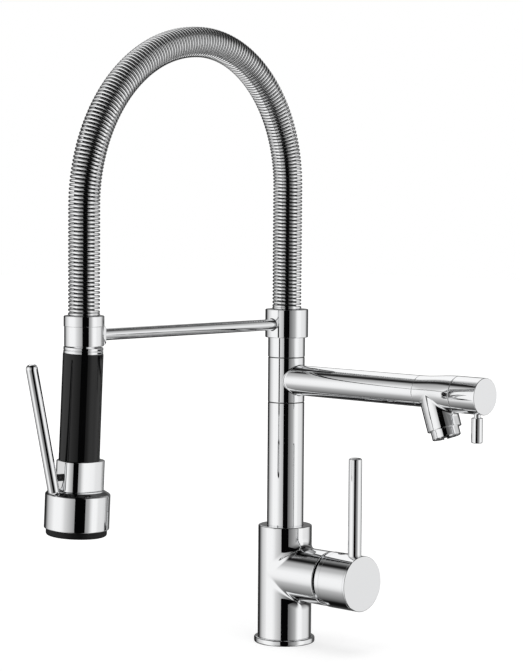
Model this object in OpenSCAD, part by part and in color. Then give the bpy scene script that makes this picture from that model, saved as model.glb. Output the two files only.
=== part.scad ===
// Single-lever kitchen mixer tap: a spring arch with a pull-down hand spray held by a docking arm,
// and a second, swivelling side spout with its own quarter-turn valve.
// Millimetres. The origin is the centre of the base on the sink deck, +Z is up,
// +X points along the mixer handle and the side spout, and -Y points along the docking arm.

/* [Base] */
// Diameter of the base ring
base_d = 51; // [48:0.5:58]
// Height of the base ring
base_h = 5; // [4:0.5:8]
// Radius of the base ring's rounded edges
base_round = 1.4; // [0.6:0.2:1.8]
// Diameter of the body's spigot inside the base ring
spigot_d = 40; // [37:0.5:42]
// Thickness of the deck seal
seal_t = 1.2; // [0.8:0.1:2]
// Radial width of the deck seal
seal_w = 2; // [1.6:0.2:2.2]

/* [Body] */
// Diameter of the body and of its side branch
body_d = 45; // [44:0.5:47]
// Height of the body above the base ring
body_h = 94; // [88:1:110]
// Chamfer round the body's top edge
body_edge = 1.2; // [0.4:0.2:2]
// Height of the branch's axis above the deck
handle_z = 59.4; // [50:0.2:64]
// Distance from the column's axis to the end of the branch
branch_reach = 50.8; // [49:0.2:60]
// Diameter of the water ways in the body
way_d = 7; // [5:0.5:8]
// Tapping diameter of the two hose inlets under the body
inlet_d = 9; // [8:0.1:10]
// Threaded depth of the hose inlets
inlet_depth = 14; // [10:1:18]
// Distance between the two hose inlets
inlet_pitch = 18; // [16:0.5:22]
// Tapping diameter of the fixing stud's hole
stud_d = 6.8; // [5:0.1:8.5]
// Depth of the fixing stud's hole
stud_depth = 20; // [12:1:24]
// Distance of the stud hole behind the column's axis
stud_offset = 12; // [11:0.5:14]

/* [Cartridge] */
// Diameter of the ceramic cartridge
cart_d = 35; // [33:0.5:36]
// Length of the wide part of the cartridge
cart_len = 24; // [20:0.5:26]
// Diameter of the cartridge's neck
cart_neck_d = 27; // [25:0.5:28]
// Length of the cartridge's neck
cart_neck_len = 9.4; // [8:0.2:12]
// Length of the nut that clamps the cartridge
nut_len = 7; // [5:0.5:8]
// Diameter of the turning carrier in the cartridge
carrier_d = 18; // [16:0.5:19]
// Diameter of the ceramic discs
disc_d = 28; // [26:0.5:29]
// Thickness of each ceramic disc
disc_t = 2.9; // [2:0.1:3]
// Diameter of the ports in the cartridge and in its fixed disc
port_d = 5.6; // [4:0.2:6]
// Distance between the cartridge's two inlet ports
port_pitch = 18; // [15:0.5:18.5]
// Width of the square post that the handle fits on
post_w = 8; // [6:0.5:9]
// Diameter of the post's tilt pin
tilt_pin_d = 4; // [3:0.5:4]
// Distance of the tilt pin behind the branch's end
tilt_pin_back = 8.8; // [8:0.2:10]
// Radius of the domed cover over the cartridge nut
dome_r = 19.5; // [18.6:0.1:19.9]

/* [Mixer handle] */
// Width of the groove between branch and handle cap
cap_gap = 4.3; // [4:0.1:6]
// Diameter of the handle cap
cap_d = 45.6; // [45:0.2:47]
// Length of the handle cap
cap_len = 31.2; // [29:0.2:38]
// Chamfer round the cap's outer face
cap_edge = 0.6; // [0.2:0.1:1.2]
// Depth of the cap's hollow rim
cap_rim_depth = 7; // [5:0.5:8]
// Depth of the relief under the rim that lets the cap tilt
cap_relief = 1.3; // [0:0.1:2]
// Diameter of the handle's rod
lever_d = 11; // [8:0.5:13]
// Distance from the cap's outer face to the rod's axis
lever_inset = 8.8; // [7:0.2:10]
// Length of the rod above the cap
lever_len = 79.6; // [60:1:100]
// Radius of the rod's rounded top edge
lever_round = 1.8; // [0.6:0.2:2.6]
// Diameter of the index plug over the grub screw
plug_d = 9; // [6:0.5:10]
// Diameter of the grub screw
grub_d = 5; // [4:0.5:5]

/* [Column] */
// Diameter of the riser
riser_d = 30.6; // [29.6:0.2:31.4]
// Height of the riser above the body
riser_h = 103.1; // [80:0.1:130]
// Diameter of the journal that the swivelling parts turn on
journal_d = 22; // [20:0.5:23]
// Diameter of the water way up the column
column_bore = 14; // [10:0.5:14.5]
// Depth of the riser's socket in the body
socket_depth = 12; // [8:1:13]
// Thickness of the glide rings
glide_t = 0.5; // [0.4:0.1:1]
// Thickness of the O-rings
seal_cord = 1.6; // [1.2:0.1:1.8]
// Diameter across the corners of the column nut
column_nut_d = 25; // [24.4:0.2:25.4]
// Thickness of the column nut
column_nut_t = 5; // [4:0.5:6]

/* [Side spout] */
// Height of the swivel ring
ring_h = 37; // [32:0.5:44]
// Diameter of the spout tube
tube_d = 25; // [22:0.5:26.5]
// Bore of the spout tube
tube_bore = 12; // [10:0.5:14]
// Distance from the column's axis to the end of the tube
tube_reach = 145.5; // [110:0.5:165]
// Length of the valve body
valve_len = 38.2; // [38:0.2:46]
// Diameter of the valve body's outer end and of the knob
knob_d = 29; // [28:0.5:31]
// Length of the knob
knob_len = 25.4; // [22:0.2:30]
// Chamfer round the knob's outer face
knob_edge = 0.5; // [0.2:0.1:1]
// Diameter of the knob's rod
filler_rod_d = 9; // [7:0.5:10]
// Length of the knob's rod below the knob
filler_rod_len = 22.1; // [16:0.5:30]
// Distance from the knob's outer face to the rod's axis
filler_rod_inset = 7.7; // [6:0.1:9]
// Diameter of the rod's neck
filler_neck_d = 5.2; // [4:0.2:6]
// Length of the rod's neck below the knob
filler_neck_len = 2.4; // [1.4:0.2:4]
// Diameter of the ceramic headwork
headwork_d = 19; // [17:0.5:20]
// Distance of the headwork's seat from the start of the valve body
headwork_inset = 5; // [3:0.5:6]
// Length of the headwork's bearing for its spindle
bearing_len = 14; // [10:0.5:15]
// Diameter of the headwork's spindle
spindle_d = 8; // [6:0.5:8.5]

/* [Nozzle] */
// Distance from the start of the valve body to the nozzle's axis
nozzle_offset = 14.4; // [13:0.2:17]
// Outward lean of the nozzle
nozzle_lean = 19.3; // [10:0.1:24]
// Diameter of the nozzle
nozzle_d = 27.4; // [25:0.2:28]
// Length of the nozzle from the spout's axis
nozzle_len = 29.9; // [27:0.1:36]
// Bore of the nozzle
nozzle_bore = 15; // [12:0.5:16]
// Diameter of the aerator's shell
aerator_d = 22.8; // [21:0.2:24]
// Height of the aerator's shell below the nozzle
aerator_h = 7; // [5:0.5:9]
// Length of the aerator's thread inside the nozzle
aerator_thread = 5; // [4:0.5:7]
// Number of key notches in the aerator's rim
aerator_notches = 4; // [2:1:6]

/* [Collar and arm] */
// Diameter of the sleeve below the collar
sleeve_d = 30.8; // [28.8:0.2:31.4]
// Height of the sleeve below the collar
sleeve_h = 16.2; // [12:0.2:22]
// Diameter of the collar
collar_d = 35.8; // [34:0.2:38]
// Height of the collar
collar_h = 23.4; // [23:0.2:28]
// Height of the arm's axis above the collar's lower edge
arm_rise = 11; // [8:0.5:14]
// Diameter of the arm
arm_d = 9.2; // [6:0.2:10]
// Distance from the column's axis to the spray's axis
arm_reach = 226; // [200:1:250]

/* [Spring arch] */
// Height of the crown of the arch's centre line above the deck
crown_z = 495.5; // [470:0.5:530]
// Height of the straight leg above the column's collar
column_leg = 101.8; // [80:0.5:120]
// Height of the straight leg above the spray's ferrule
spray_leg = 83; // [70:0.5:100]
// Distance of the crown from the column's axis
crown_reach = 102.6; // [95:0.2:120]
// Outer diameter of the spring
spring_d = 24.4; // [23:0.2:26]
// Diameter of the spring's wire
wire_d = 2.6; // [1.8:0.1:2.6]
// Number of turns of the spring
spring_turns = 86; // [60:1:88]
// Outer diameter of the hose inside the spring
hose_d = 16; // [13:0.5:16.5]

/* [Docking sleeve] */
// Diameter of the docking sleeve
dock_d = 30.2; // [29:0.2:31]
// Height of the docking sleeve
dock_h = 15.1; // [13:0.1:18]
// Distance of the docking sleeve's lower edge below the arm's axis
dock_drop = 7.9; // [7:0.1:9]
// Reach of the arm's lug from the spray's axis
lug_reach = 18.6; // [17:0.2:22]
// Width of the arm's lug
lug_w = 10; // [9:0.5:13]
// Chamfer of the arm's lug
lug_edge = 1.8; // [0.6:0.2:2.6]
// Diameter of the ferrule that holds the spring
ferrule_d = 31; // [30:0.2:33]
// Height of the ferrule
ferrule_h = 8.1; // [6:0.1:10]
// Outer diameter of the sliding hose
slide_hose_d = 12.6; // [11:0.2:12.6]

/* [Hand spray] */
// Lean of the hanging spray off the vertical
spray_lean = 2.4; // [0:0.1:2.4]
// Compass angle from +X towards which the spray's foot leans
lean_dir = 199; // [0:1:359]
// Compass angle from +X of the spray's lever
lever_dir = 264.4; // [200:0.2:300]
// Gap between the docking sleeve and the spray's neck
neck_gap = 0.7; // [0.7:0.1:2]
// Height of each of the two neck rings
neck_ring_h = 2.2; // [1.6:0.1:4]
// Diameter of the neck rings
neck_d = 30.4; // [29:0.2:31]
// Length of the grip
grip_len = 81.9; // [70:0.5:95]
// Diameter of the grip's lower end
grip_d = 31.4; // [30.6:0.2:33]
// Width of the spray's body across its two sides
barrel_w = 28.8; // [28:0.2:32]
// Distance from the spray's axis to the back of its body
barrel_reach = 19.9; // [18:0.1:20.2]
// Radius of the upright corners of the spray's body
barrel_round = 11.5; // [9:0.5:13]
// Length of the spray's body
spray_len = 23.2; // [21:0.2:28]
// Distance from the spray's axis to the flat behind the lever
flat_reach = 16.6; // [15.8:0.1:17]
// Height of the bell's sloping shoulder
shoulder_h = 2.5; // [1.5:0.1:4]
// Diameter of the bell
bell_d = 50; // [49:0.5:54]
// Height of the bell below its shoulder
bell_h = 26.9; // [25:0.1:32]
// Diameter of the rubber rim
rim_d = 46.8; // [43:0.2:48]
// Height of the rubber rim
rim_h = 5.2; // [3:0.1:7]
// Diameter of the spray face
face_d = 42; // [38:0.5:42.5]
// Number of nozzles in the spray face's outer ring
face_nozzles = 18; // [10:1:20]

/* [Spray lever] */
// Diameter of the spray lever's rod
press_rod_d = 9; // [7:0.2:9.4]
// Lean of the rod off the spray's axis
press_lean = 14.5; // [12:0.1:16]
// Length of the rod
press_len = 101; // [80:1:120]
// Distance from the spray's axis to the rod's foot
press_foot = 22.5; // [22.2:0.1:22.6]
// Thickness of the rod's hinge tongue
tongue_t = 5; // [3:0.2:6]
// Diameter of the rod's hinge pin
press_pin_d = 2.4; // [2:0.1:3]
// Diameter of the valve button
button_d = 5.5; // [4:0.1:6]
// Height of the valve button above the spray body's lower edge
button_rise = 10.7; // [9:0.1:13]
// Reach of the button's tip from the spray's axis
button_reach = 20.2; // [18:0.1:20.3]
// Number of turns of the button's return spring
return_turns = 5; // [3:1:7]

/* [Hidden] */
$fn = 72;

// Running clearance of a shaft in its bore, on the radius
run_fit = 0.05;
// Axial play between pieces that turn on each other
play = 0.1;
// Free space between moving pieces that don't touch
free_gap = 0.3;
// Length by which a cutting tool runs past a face
past = 1;

chrome = [0.80, 0.81, 0.83];
steel = [0.62, 0.63, 0.65];
brass = [0.78, 0.66, 0.38];
rubber_black = [0.06, 0.06, 0.065];
gloss_black = [0.09, 0.09, 0.10];
white_plastic = [0.90, 0.90, 0.88];
hose_grey = [0.22, 0.22, 0.24];
ceramic = [0.93, 0.92, 0.90];

// The seal's distance outside the spigot, on the diameter
seal_inset = 3;

// Levels up the column
body_top = base_h + body_h;
riser_top = body_top + riser_h;
ring_z = riser_top + glide_t + play;
ring_top = ring_z + ring_h;
spout_z = ring_z + ring_h / 2;
sleeve_z = ring_top + glide_t + play;
collar_z = sleeve_z + sleeve_h;
collar_top = collar_z + collar_h;
arm_z = collar_z + arm_rise;
collar_floor = 8;
collar_cap_t = 4;
nut_z = collar_z + collar_floor + play;
nut_top = nut_z + column_nut_t;
cavity_d = column_nut_d + 1.4;
thread_d = journal_d - 4;
union_z = nut_top + 1;

// Stations along the branch and the handle
cap_x = branch_reach + cap_gap;
cap_end = cap_x + cap_len;
lever_x = cap_end - lever_inset;
cart_x = branch_reach - 3.4 - cart_neck_len - cart_len;
cart_shoulder = cart_x + cart_len;
cart_front = cart_shoulder + cart_neck_len;
cart_floor = 3;
fixed_disc_x = cart_x + cart_floor;
moving_disc_x = fixed_disc_x + disc_t + play;
carrier_x = moving_disc_x + disc_t;
carrier_len = cart_front - carrier_x;
disc_gap = 0.2;
pivot_x = branch_reach - tilt_pin_back;
inlet_rise = -6;
outlet_rise = 8;
post_back = 6;
post_socket = 7;
cap_floor_x = cap_x + cap_rim_depth;
post_end = cap_floor_x + post_socket;
plug_x = cap_floor_x + post_socket / 2;
plug_t = 1.6;
grub_len = 6;

// Stations along the side spout
valve_x = tube_reach;
valve_end = valve_x + valve_len;
knob_x = valve_end + play * 3;
knob_end = knob_x + knob_len;
filler_rod_x = knob_end - filler_rod_inset;
nozzle_x = valve_x + nozzle_offset;
headwork_x = valve_x + headwork_inset;
bearing_x = valve_end - bearing_len;
seat_t = 2.4;
turning_disc_x = headwork_x + seat_t + play;
cage_d = headwork_d - 5;
seat_port_d = 4;
spindle_end = knob_x + 8;

// The spray's own levels, measured along its axis from the hose's ball
dock_z = arm_z - dock_drop;
dock_top = dock_z + dock_h;
ferrule_top = dock_top + ferrule_h;
ball_rise = 10;
ball_z = dock_z + ball_rise;
neck_s = -ball_rise - neck_gap;
groove_h = 0.4;
ring_s = neck_s - neck_ring_h - groove_h;
grip_s = ring_s - neck_ring_h;
body_s = grip_s - grip_len;
shoulder_s = body_s - spray_len;
bell_s = shoulder_s - shoulder_h;
bell_foot = bell_s - bell_h;
face_t = 3;
button_s = shoulder_s + button_rise;
pivot_u = 20.9;
pivot_drop = 6.6;
lever_travel = 8;
press_pivot_s = shoulder_s - pivot_drop;
ball_d = 14.8;
dock_bore = 20.4;
neck_spigot_d = 18.6;
water_d = 10;

// Points of an arc round a centre, from one angle to another
function arc(centre, r, from, to, n = 5) =
    [for (i = [0:n]) centre + r * [cos(from + (to - from) * i / n), sin(from + (to - from) * i / n)]];

// The arch's centre line is two quarter ellipses between two straight legs, in the plane x = 0
column_leg_top = collar_top + column_leg;
spray_leg_top = ferrule_top + spray_leg;
quarter_steps = 40;
arch_line = concat(
    [[0, collar_top]],
    [for (i = [0:quarter_steps]) let (a = 90 * i / quarter_steps)
        [-crown_reach * (1 - cos(a)), column_leg_top + (crown_z - column_leg_top) * sin(a)]],
    [for (i = [quarter_steps - 1:-1:0]) let (a = 90 * i / quarter_steps)
        [-crown_reach - (arm_reach - crown_reach) * cos(a),
            spray_leg_top + (crown_z - spray_leg_top) * sin(a)]],
    [[-arm_reach, ferrule_top]]);
function run(line, i) = i == 0 ? 0 : norm(line[i] - line[i - 1]) + run(line, i - 1);
arch_runs = [for (i = [0:len(arch_line) - 1]) run(arch_line, i)];
arch_len = arch_runs[len(arch_line) - 1];
y_table = [for (i = [0:len(arch_line) - 1]) [arch_runs[i], arch_line[i][0]]];
z_table = [for (i = [0:len(arch_line) - 1]) [arch_runs[i], arch_line[i][1]]];
function on_arch(s) = [0, lookup(s, y_table), lookup(s, z_table)];
function unit(v) = v / norm(v);
smooth_run = 2;
function heading(s) = unit(on_arch(min(s + smooth_run, arch_len)) - on_arch(max(s - smooth_run, 0)));
function outward(s) = cross([1, 0, 0], heading(s));

// A tube of round section swept through points: each ring of sides lies square to the path
function ring_at(p, along, side, r, sides) =
    let (u = unit(side - (side * along) * along), v = cross(along, u))
    [for (k = [0:sides - 1]) p + r * (cos(360 * k / sides) * u + sin(360 * k / sides) * v)];
module swept_tube(rings, sides) {
    n = len(rings);
    skin = [for (i = [0:n - 2], k = [0:sides - 1]) let (a = i * sides + k, b = i * sides + (k + 1) % sides)
        each [[a, b, b + sides], [a, b + sides, a + sides]]];
    ends = [for (k = [1:sides - 2]) each [[0, k + 1, k],
        [(n - 1) * sides, (n - 1) * sides + k, (n - 1) * sides + k + 1]]];
    polyhedron(points = [for (r = rings) each r], faces = concat(
        [for (f = skin) [f[2], f[1], f[0]]], [for (f = ends) [f[2], f[1], f[0]]]), convexity = 20);
}

// The spring's wire: straight for one wire diameter at each end, and a helix round the arch between
wire_sides = 6;
curl_rings = 8;
coil_r = (spring_d - wire_d) / 2;
end_run = wire_d;
coil_n = spring_turns * curl_rings;
function coil_point(i) = let (s = end_run + (arch_len - 2 * end_run) * i / coil_n, a = 360 * i / curl_rings)
    on_arch(s) + coil_r * (cos(a) * outward(s) - sin(a) * [1, 0, 0]);
wire_path = concat(
    [on_arch(0) + coil_r * outward(0)],
    [for (i = [0:coil_n]) coil_point(i)],
    [on_arch(arch_len) + coil_r * outward(arch_len)]);
function path_heading(p, i) =
    i == 0 ? unit(p[1] - p[0]) :
    i == len(p) - 1 ? unit(p[i] - p[i - 1]) :
    unit(unit(p[i + 1] - p[i]) + unit(p[i] - p[i - 1]));
coil_gaps = [for (i = [1:coil_n - curl_rings - 1]) for (k = [curl_rings - 1:curl_rings + 1])
    norm(coil_point(i + k) - coil_point(i)) - wire_d];
echo(spring_length_along_arch = arch_len, least_gap_between_turns = min(coil_gaps));

// Frames of the pieces that aren't upright
module along_x() { rotate([0, 90, 0]) children(); }
module nozzle_frame() {
    translate([nozzle_x, 0, spout_z]) rotate([0, 180 - nozzle_lean, 0]) children();
}
module spray_frame() {
    translate([0, -arm_reach, ball_z]) rotate(a = spray_lean, v = [sin(lean_dir), -cos(lean_dir), 0])
        children();
}
module lever_frame() { spray_frame() rotate([0, 0, lever_dir]) children(); }
module press_frame() {
    lever_frame() translate([press_foot, 0, shoulder_s]) rotate([0, press_lean, 0]) children();
}

// Base and body

module base_ring() {
    r = base_d / 2;
    c = base_round;
    color(chrome)
        difference() {
            rotate_extrude()
                polygon(concat([[spigot_d / 2, 0]], arc([r - c, c], c, -90, 0), arc([r - c, base_h - c], c, 0, 90),
                    [[spigot_d / 2, base_h]]));
            translate([0, 0, -past])
                difference() {
                    cylinder(h = seal_t + past, d = spigot_d + seal_inset + 2 * seal_w);
                    cylinder(h = seal_t + past, d = spigot_d + seal_inset);
                }
        }
}

module deck_seal() {
    color(rubber_black)
        difference() {
            cylinder(h = seal_t, d = spigot_d + seal_inset + 2 * seal_w);
            translate([0, 0, -past]) cylinder(h = seal_t + 2 * past, d = spigot_d + seal_inset);
        }
}

module tap_body() {
    r = body_d / 2;
    hot_z = handle_z + inlet_rise;
    mix_z = handle_z + outlet_rise;
    color(chrome)
        difference() {
            rotate_extrude()
                polygon([[0, 0], [spigot_d / 2, 0], [spigot_d / 2, base_h], [r, base_h],
                    [r, body_top - body_edge], [r - body_edge, body_top], [0, body_top]]);
            // The cartridge's seat
            translate([cart_x, 0, handle_z]) along_x() cylinder(h = branch_reach, d = cart_d);
            // Hot and cold inlets, each with a cross way to the cartridge
            for (side = [-1, 1]) {
                translate([0, side * inlet_pitch / 2, -past]) cylinder(h = inlet_depth + past, d = inlet_d);
                translate([0, side * inlet_pitch / 2, 0]) cylinder(h = hot_z, d = way_d);
                translate([0, side * port_pitch / 2, hot_z]) along_x() cylinder(h = cart_x + past, d = way_d);
            }
            // The mixed water's way up to the riser
            translate([0, 0, mix_z]) along_x() cylinder(h = cart_x + past, d = way_d);
            translate([0, 0, mix_z]) cylinder(h = body_h, d = way_d);
            translate([0, 0, body_top - socket_depth]) cylinder(h = socket_depth + past, d = journal_d);
            translate([-stud_offset, 0, -past]) cylinder(h = stud_depth + past, d = stud_d);
        }
}

module side_branch() {
    color(chrome)
        difference() {
            translate([0, 0, handle_z]) along_x() cylinder(h = branch_reach, d = body_d);
            translate([-body_d, -body_d, handle_z - body_d]) cube([body_d, 2 * body_d, 2 * body_d]);
            cylinder(h = body_top, d = body_d);
            translate([cart_x, 0, handle_z]) along_x() cylinder(h = branch_reach, d = cart_d);
        }
}

// Hot and cold ports below, the mixed water's port above
module ports(from, length) {
    for (p = [[-port_pitch / 2, inlet_rise], [port_pitch / 2, inlet_rise], [0, outlet_rise]])
        translate([from, p[0], handle_z + p[1]]) along_x() cylinder(h = length, d = port_d);
}

module mixer_cartridge() {
    bore_r = carrier_d / 2 + run_fit;
    disc_r = disc_d / 2;
    chamber_end = carrier_x + disc_gap;
    color(white_plastic)
        difference() {
            translate([0, 0, handle_z]) along_x()
                rotate_extrude()
                    polygon([[0, cart_x], [cart_d / 2, cart_x], [cart_d / 2, cart_shoulder],
                        [cart_neck_d / 2, cart_shoulder], [cart_neck_d / 2, cart_front], [bore_r, cart_front],
                        [bore_r, chamber_end], [disc_r, chamber_end], [disc_r, fixed_disc_x],
                        [0, fixed_disc_x]]);
            ports(cart_x - past, cart_floor + 2 * past);
        }
}

module fixed_disc() {
    color(ceramic)
        difference() {
            translate([fixed_disc_x, 0, handle_z]) along_x() cylinder(h = disc_t, d = disc_d);
            ports(fixed_disc_x - past, disc_t + 2 * past);
        }
}

module moving_disc() {
    recess_w = port_d + 1.2;
    recess_t = 1.6;
    color(ceramic)
        difference() {
            translate([moving_disc_x, 0, handle_z]) along_x() cylinder(h = disc_t, r = disc_d / 2 - disc_gap);
            // The recess that joins the ports when the disc slides and turns over them
            translate([moving_disc_x - past, -recess_w / 2, handle_z - disc_d / 4])
                cube([recess_t + past, recess_w, disc_d / 2]);
        }
}

module cartridge_nut() {
    color(brass)
        translate([cart_shoulder, 0, handle_z]) along_x()
            difference() {
                cylinder(h = nut_len, d = cart_d);
                translate([0, 0, -past]) cylinder(h = nut_len + 2 * past, d = cart_neck_d);
            }
}

module dome_cover() {
    lip_x = cart_shoulder + nut_len;
    dome_t = 1.4;
    front_r = 13.6;
    start = acos((lip_x - pivot_x) / dome_r);
    stop = asin(front_r / dome_r);
    color(chrome)
        translate([0, 0, handle_z]) along_x()
            rotate_extrude()
                polygon(concat(
                    [[cart_d / 2, lip_x], [cart_d / 2, lip_x + dome_t]],
                    [for (i = [0:8]) let (a = start + (stop - start) * i / 8)
                        if (pivot_x + dome_r * cos(a) > lip_x + dome_t)
                            [min(dome_r * sin(a), cart_d / 2), pivot_x + dome_r * cos(a)]],
                    [[front_r - dome_t, pivot_x + dome_r * cos(stop) - dome_t / 2]],
                    [[cart_d / 2 - 2 * dome_t, lip_x]]));
}

// Column

module riser_tube() {
    jr = journal_d / 2;
    groove_r = jr - seal_cord;
    bore_r = column_bore / 2;
    seal_levels = [ring_z + 5, ring_top - 5];
    color(chrome)
        difference() {
            rotate_extrude()
                polygon([[bore_r, body_top - socket_depth], [jr, body_top - socket_depth], [jr, body_top],
                    [riser_d / 2, body_top], [riser_d / 2, riser_top], [jr, riser_top],
                    [jr, collar_z + collar_floor], [thread_d / 2, collar_z + collar_floor],
                    [thread_d / 2, nut_top], [bore_r, nut_top]]);
            for (z = seal_levels)
                translate([0, 0, z - seal_cord / 2])
                    difference() {
                        cylinder(h = seal_cord, r = jr + past);
                        translate([0, 0, -past]) cylinder(h = seal_cord + 2 * past, r = groove_r);
                    }
            // Cross holes that feed the side spout
            for (a = [0, 90])
                rotate([0, 0, a]) translate([-jr - past, 0, spout_z]) along_x()
                    cylinder(h = 2 * (jr + past), d = way_d);
        }
}

module glide_ring() {
    color(hose_grey)
        translate([0, 0, riser_top])
            difference() {
                cylinder(h = glide_t, d = riser_d - 1);
                translate([0, 0, -past]) cylinder(h = glide_t + 2 * past, d = journal_d);
            }
}

module journal_seals() {
    color(rubber_black)
        for (z = [ring_z + 5, ring_top - 5])
            translate([0, 0, z])
                rotate_extrude() translate([(journal_d - seal_cord) / 2, 0]) circle(d = seal_cord, $fn = 24);
}

module column_nut() {
    color(brass)
        translate([0, 0, nut_z])
            difference() {
                cylinder(h = column_nut_t, d = column_nut_d, $fn = 6);
                translate([0, 0, -past]) cylinder(h = column_nut_t + 2 * past, d = thread_d);
            }
}

// Mixer handle

module cartridge_carrier() {
    slot_w = post_w + 2 * run_fit;
    color(ceramic)
        translate([0, 0, handle_z])
            difference() {
                translate([carrier_x, 0, 0]) along_x() cylinder(h = carrier_len, d = carrier_d);
                translate([pivot_x - post_back - 2, -slot_w / 2, -carrier_d])
                    cube([carrier_len, slot_w, 2 * carrier_d]);
                translate([pivot_x, -carrier_d, 0]) rotate([-90, 0, 0])
                    cylinder(h = 2 * carrier_d, d = tilt_pin_d);
            }
}

module tilt_pin() {
    pin_len = carrier_d - 3;
    color(steel)
        translate([pivot_x, -pin_len / 2, handle_z]) rotate([-90, 0, 0]) cylinder(h = pin_len, d = tilt_pin_d);
}

module cartridge_post() {
    color(steel)
        translate([0, 0, handle_z])
            difference() {
                translate([pivot_x - post_back, -post_w / 2, -post_w / 2])
                    cube([post_end - pivot_x + post_back, post_w, post_w]);
                translate([pivot_x, -post_w, 0]) rotate([-90, 0, 0])
                    cylinder(h = 2 * post_w, r = tilt_pin_d / 2 + run_fit);
            }
}

module handle_cap() {
    r = cap_d / 2;
    rim_t = 2.6;
    color(chrome)
        difference() {
            translate([0, 0, handle_z]) along_x()
                rotate_extrude()
                    polygon([[0, cap_floor_x], [r - rim_t, cap_floor_x], [r - rim_t, cap_x], [r - 0.5, cap_x],
                        [r, cap_x + 0.5], [r, cap_end - cap_edge], [r - cap_edge, cap_end], [0, cap_end]]);
            translate([cap_floor_x - past, -post_w / 2, handle_z - post_w / 2])
                cube([post_socket + past, post_w, post_w]);
            // The rod's seat, and the screw's hole with the plug's recess
            translate([lever_x, 0, handle_z + r - lever_seat()]) cylinder(h = lever_seat() + r, d = lever_d);
            translate([plug_x, 0, handle_z]) cylinder(h = r, d = grub_d);
            translate([plug_x, 0, handle_z + r - plug_t - 0.6]) cylinder(h = r, d = plug_d);
            // A sloping cut under the rim gives it room to tilt towards the branch
            translate([cap_x, -r, handle_z - r * 3 / 4])
                rotate([0, -atan(cap_relief / (r / 4)), 0]) translate([-r, 0, -r]) cube([r, 2 * r, r]);
        }
}
function lever_seat() = 7;

module handle_lever() {
    r = lever_d / 2;
    c = lever_round;
    bottom = handle_z + cap_d / 2 - lever_seat();
    top = handle_z + cap_d / 2 + lever_len;
    color(chrome)
        translate([lever_x, 0, 0])
            rotate_extrude()
                polygon(concat([[0, bottom], [r, bottom]], arc([r - c, top - c], c, 0, 90), [[0, top]]));
}

module handle_grub_screw() {
    color(steel)
        translate([plug_x, 0, handle_z + post_w / 2]) cylinder(h = grub_len, d = grub_d);
}

module index_plug() {
    dish = 0.4;
    color(rubber_black)
        translate([plug_x, 0, handle_z + cap_d / 2 - plug_t - 0.6])
            rotate_extrude()
                polygon([[0, 0], [plug_d / 2, 0], [plug_d / 2, plug_t - dish], [plug_d / 2 - dish, plug_t],
                    [0, plug_t]]);
}

// Side spout

module swivel_ring() {
    chamber_h = 10;
    color(chrome)
        difference() {
            translate([0, 0, ring_z])
                difference() {
                    cylinder(h = ring_h, d = riser_d);
                    translate([0, 0, -past]) cylinder(h = ring_h + 2 * past, r = journal_d / 2 + run_fit);
                    translate([0, 0, (ring_h - chamber_h) / 2]) cylinder(h = chamber_h, d = journal_d + 2.6);
                }
            translate([0, 0, spout_z]) along_x() cylinder(h = riser_d, d = tube_bore + 4);
        }
}

module spout_tube() {
    color(chrome)
        difference() {
            union() {
                difference() {
                    translate([0, 0, spout_z]) along_x() cylinder(h = tube_reach, d = tube_d);
                    translate([0, 0, ring_z - past]) cylinder(h = ring_h + 2 * past, d = riser_d);
                }
                translate([journal_d / 2 + 1.6, 0, spout_z]) along_x() cylinder(h = riser_d / 2, d = tube_bore + 4);
            }
            translate([0, 0, spout_z]) along_x() cylinder(h = tube_reach + past, d = tube_bore);
        }
}

module valve_body() {
    flare_steps = 12;
    color(chrome)
        difference() {
            union() {
                translate([0, 0, spout_z]) along_x()
                    rotate_extrude()
                        polygon(concat([[0, valve_x]],
                            [for (i = [0:flare_steps]) let (t = i / flare_steps)
                                [tube_d / 2 + (knob_d - tube_d) / 4 * (1 - cos(180 * t)), valve_x + valve_len * t]],
                            [[0, valve_end]]));
                nozzle_frame()
                    rotate_extrude()
                        polygon([[0, 0], [nozzle_d / 2, 0], [nozzle_d / 2, nozzle_len - 0.6],
                            [nozzle_d / 2 - 0.6, nozzle_len], [0, nozzle_len]]);
            }
            translate([valve_x - past, 0, spout_z]) along_x() cylinder(h = headwork_inset + 2 * past, d = tube_bore);
            translate([headwork_x, 0, spout_z]) along_x() cylinder(h = valve_end - headwork_x + past, d = headwork_d);
            nozzle_frame() cylinder(h = nozzle_len + past, d = nozzle_bore);
            nozzle_frame() translate([0, 0, nozzle_len - aerator_thread])
                cylinder(h = aerator_thread + past, d = aerator_d - 2.4);
        }
}

module headwork() {
    bore_r = spindle_d / 2 + run_fit;
    window_d = 9;
    color(brass)
        difference() {
            translate([0, 0, spout_z]) along_x()
                rotate_extrude()
                    polygon([[0, headwork_x], [headwork_d / 2, headwork_x], [headwork_d / 2, valve_end],
                        [bore_r, valve_end], [bore_r, bearing_x], [cage_d / 2, bearing_x],
                        [cage_d / 2, headwork_x + seat_t], [0, headwork_x + seat_t]]);
            // Two ports in the seat, and the windows towards the nozzle
            for (side = [-1, 1])
                translate([headwork_x - past, side * seat_port_d, spout_z]) along_x()
                    cylinder(h = seat_t + 2 * past, d = seat_port_d);
            translate([nozzle_x, 0, spout_z - headwork_d]) cylinder(h = 2 * headwork_d, d = window_d);
        }
}

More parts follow.
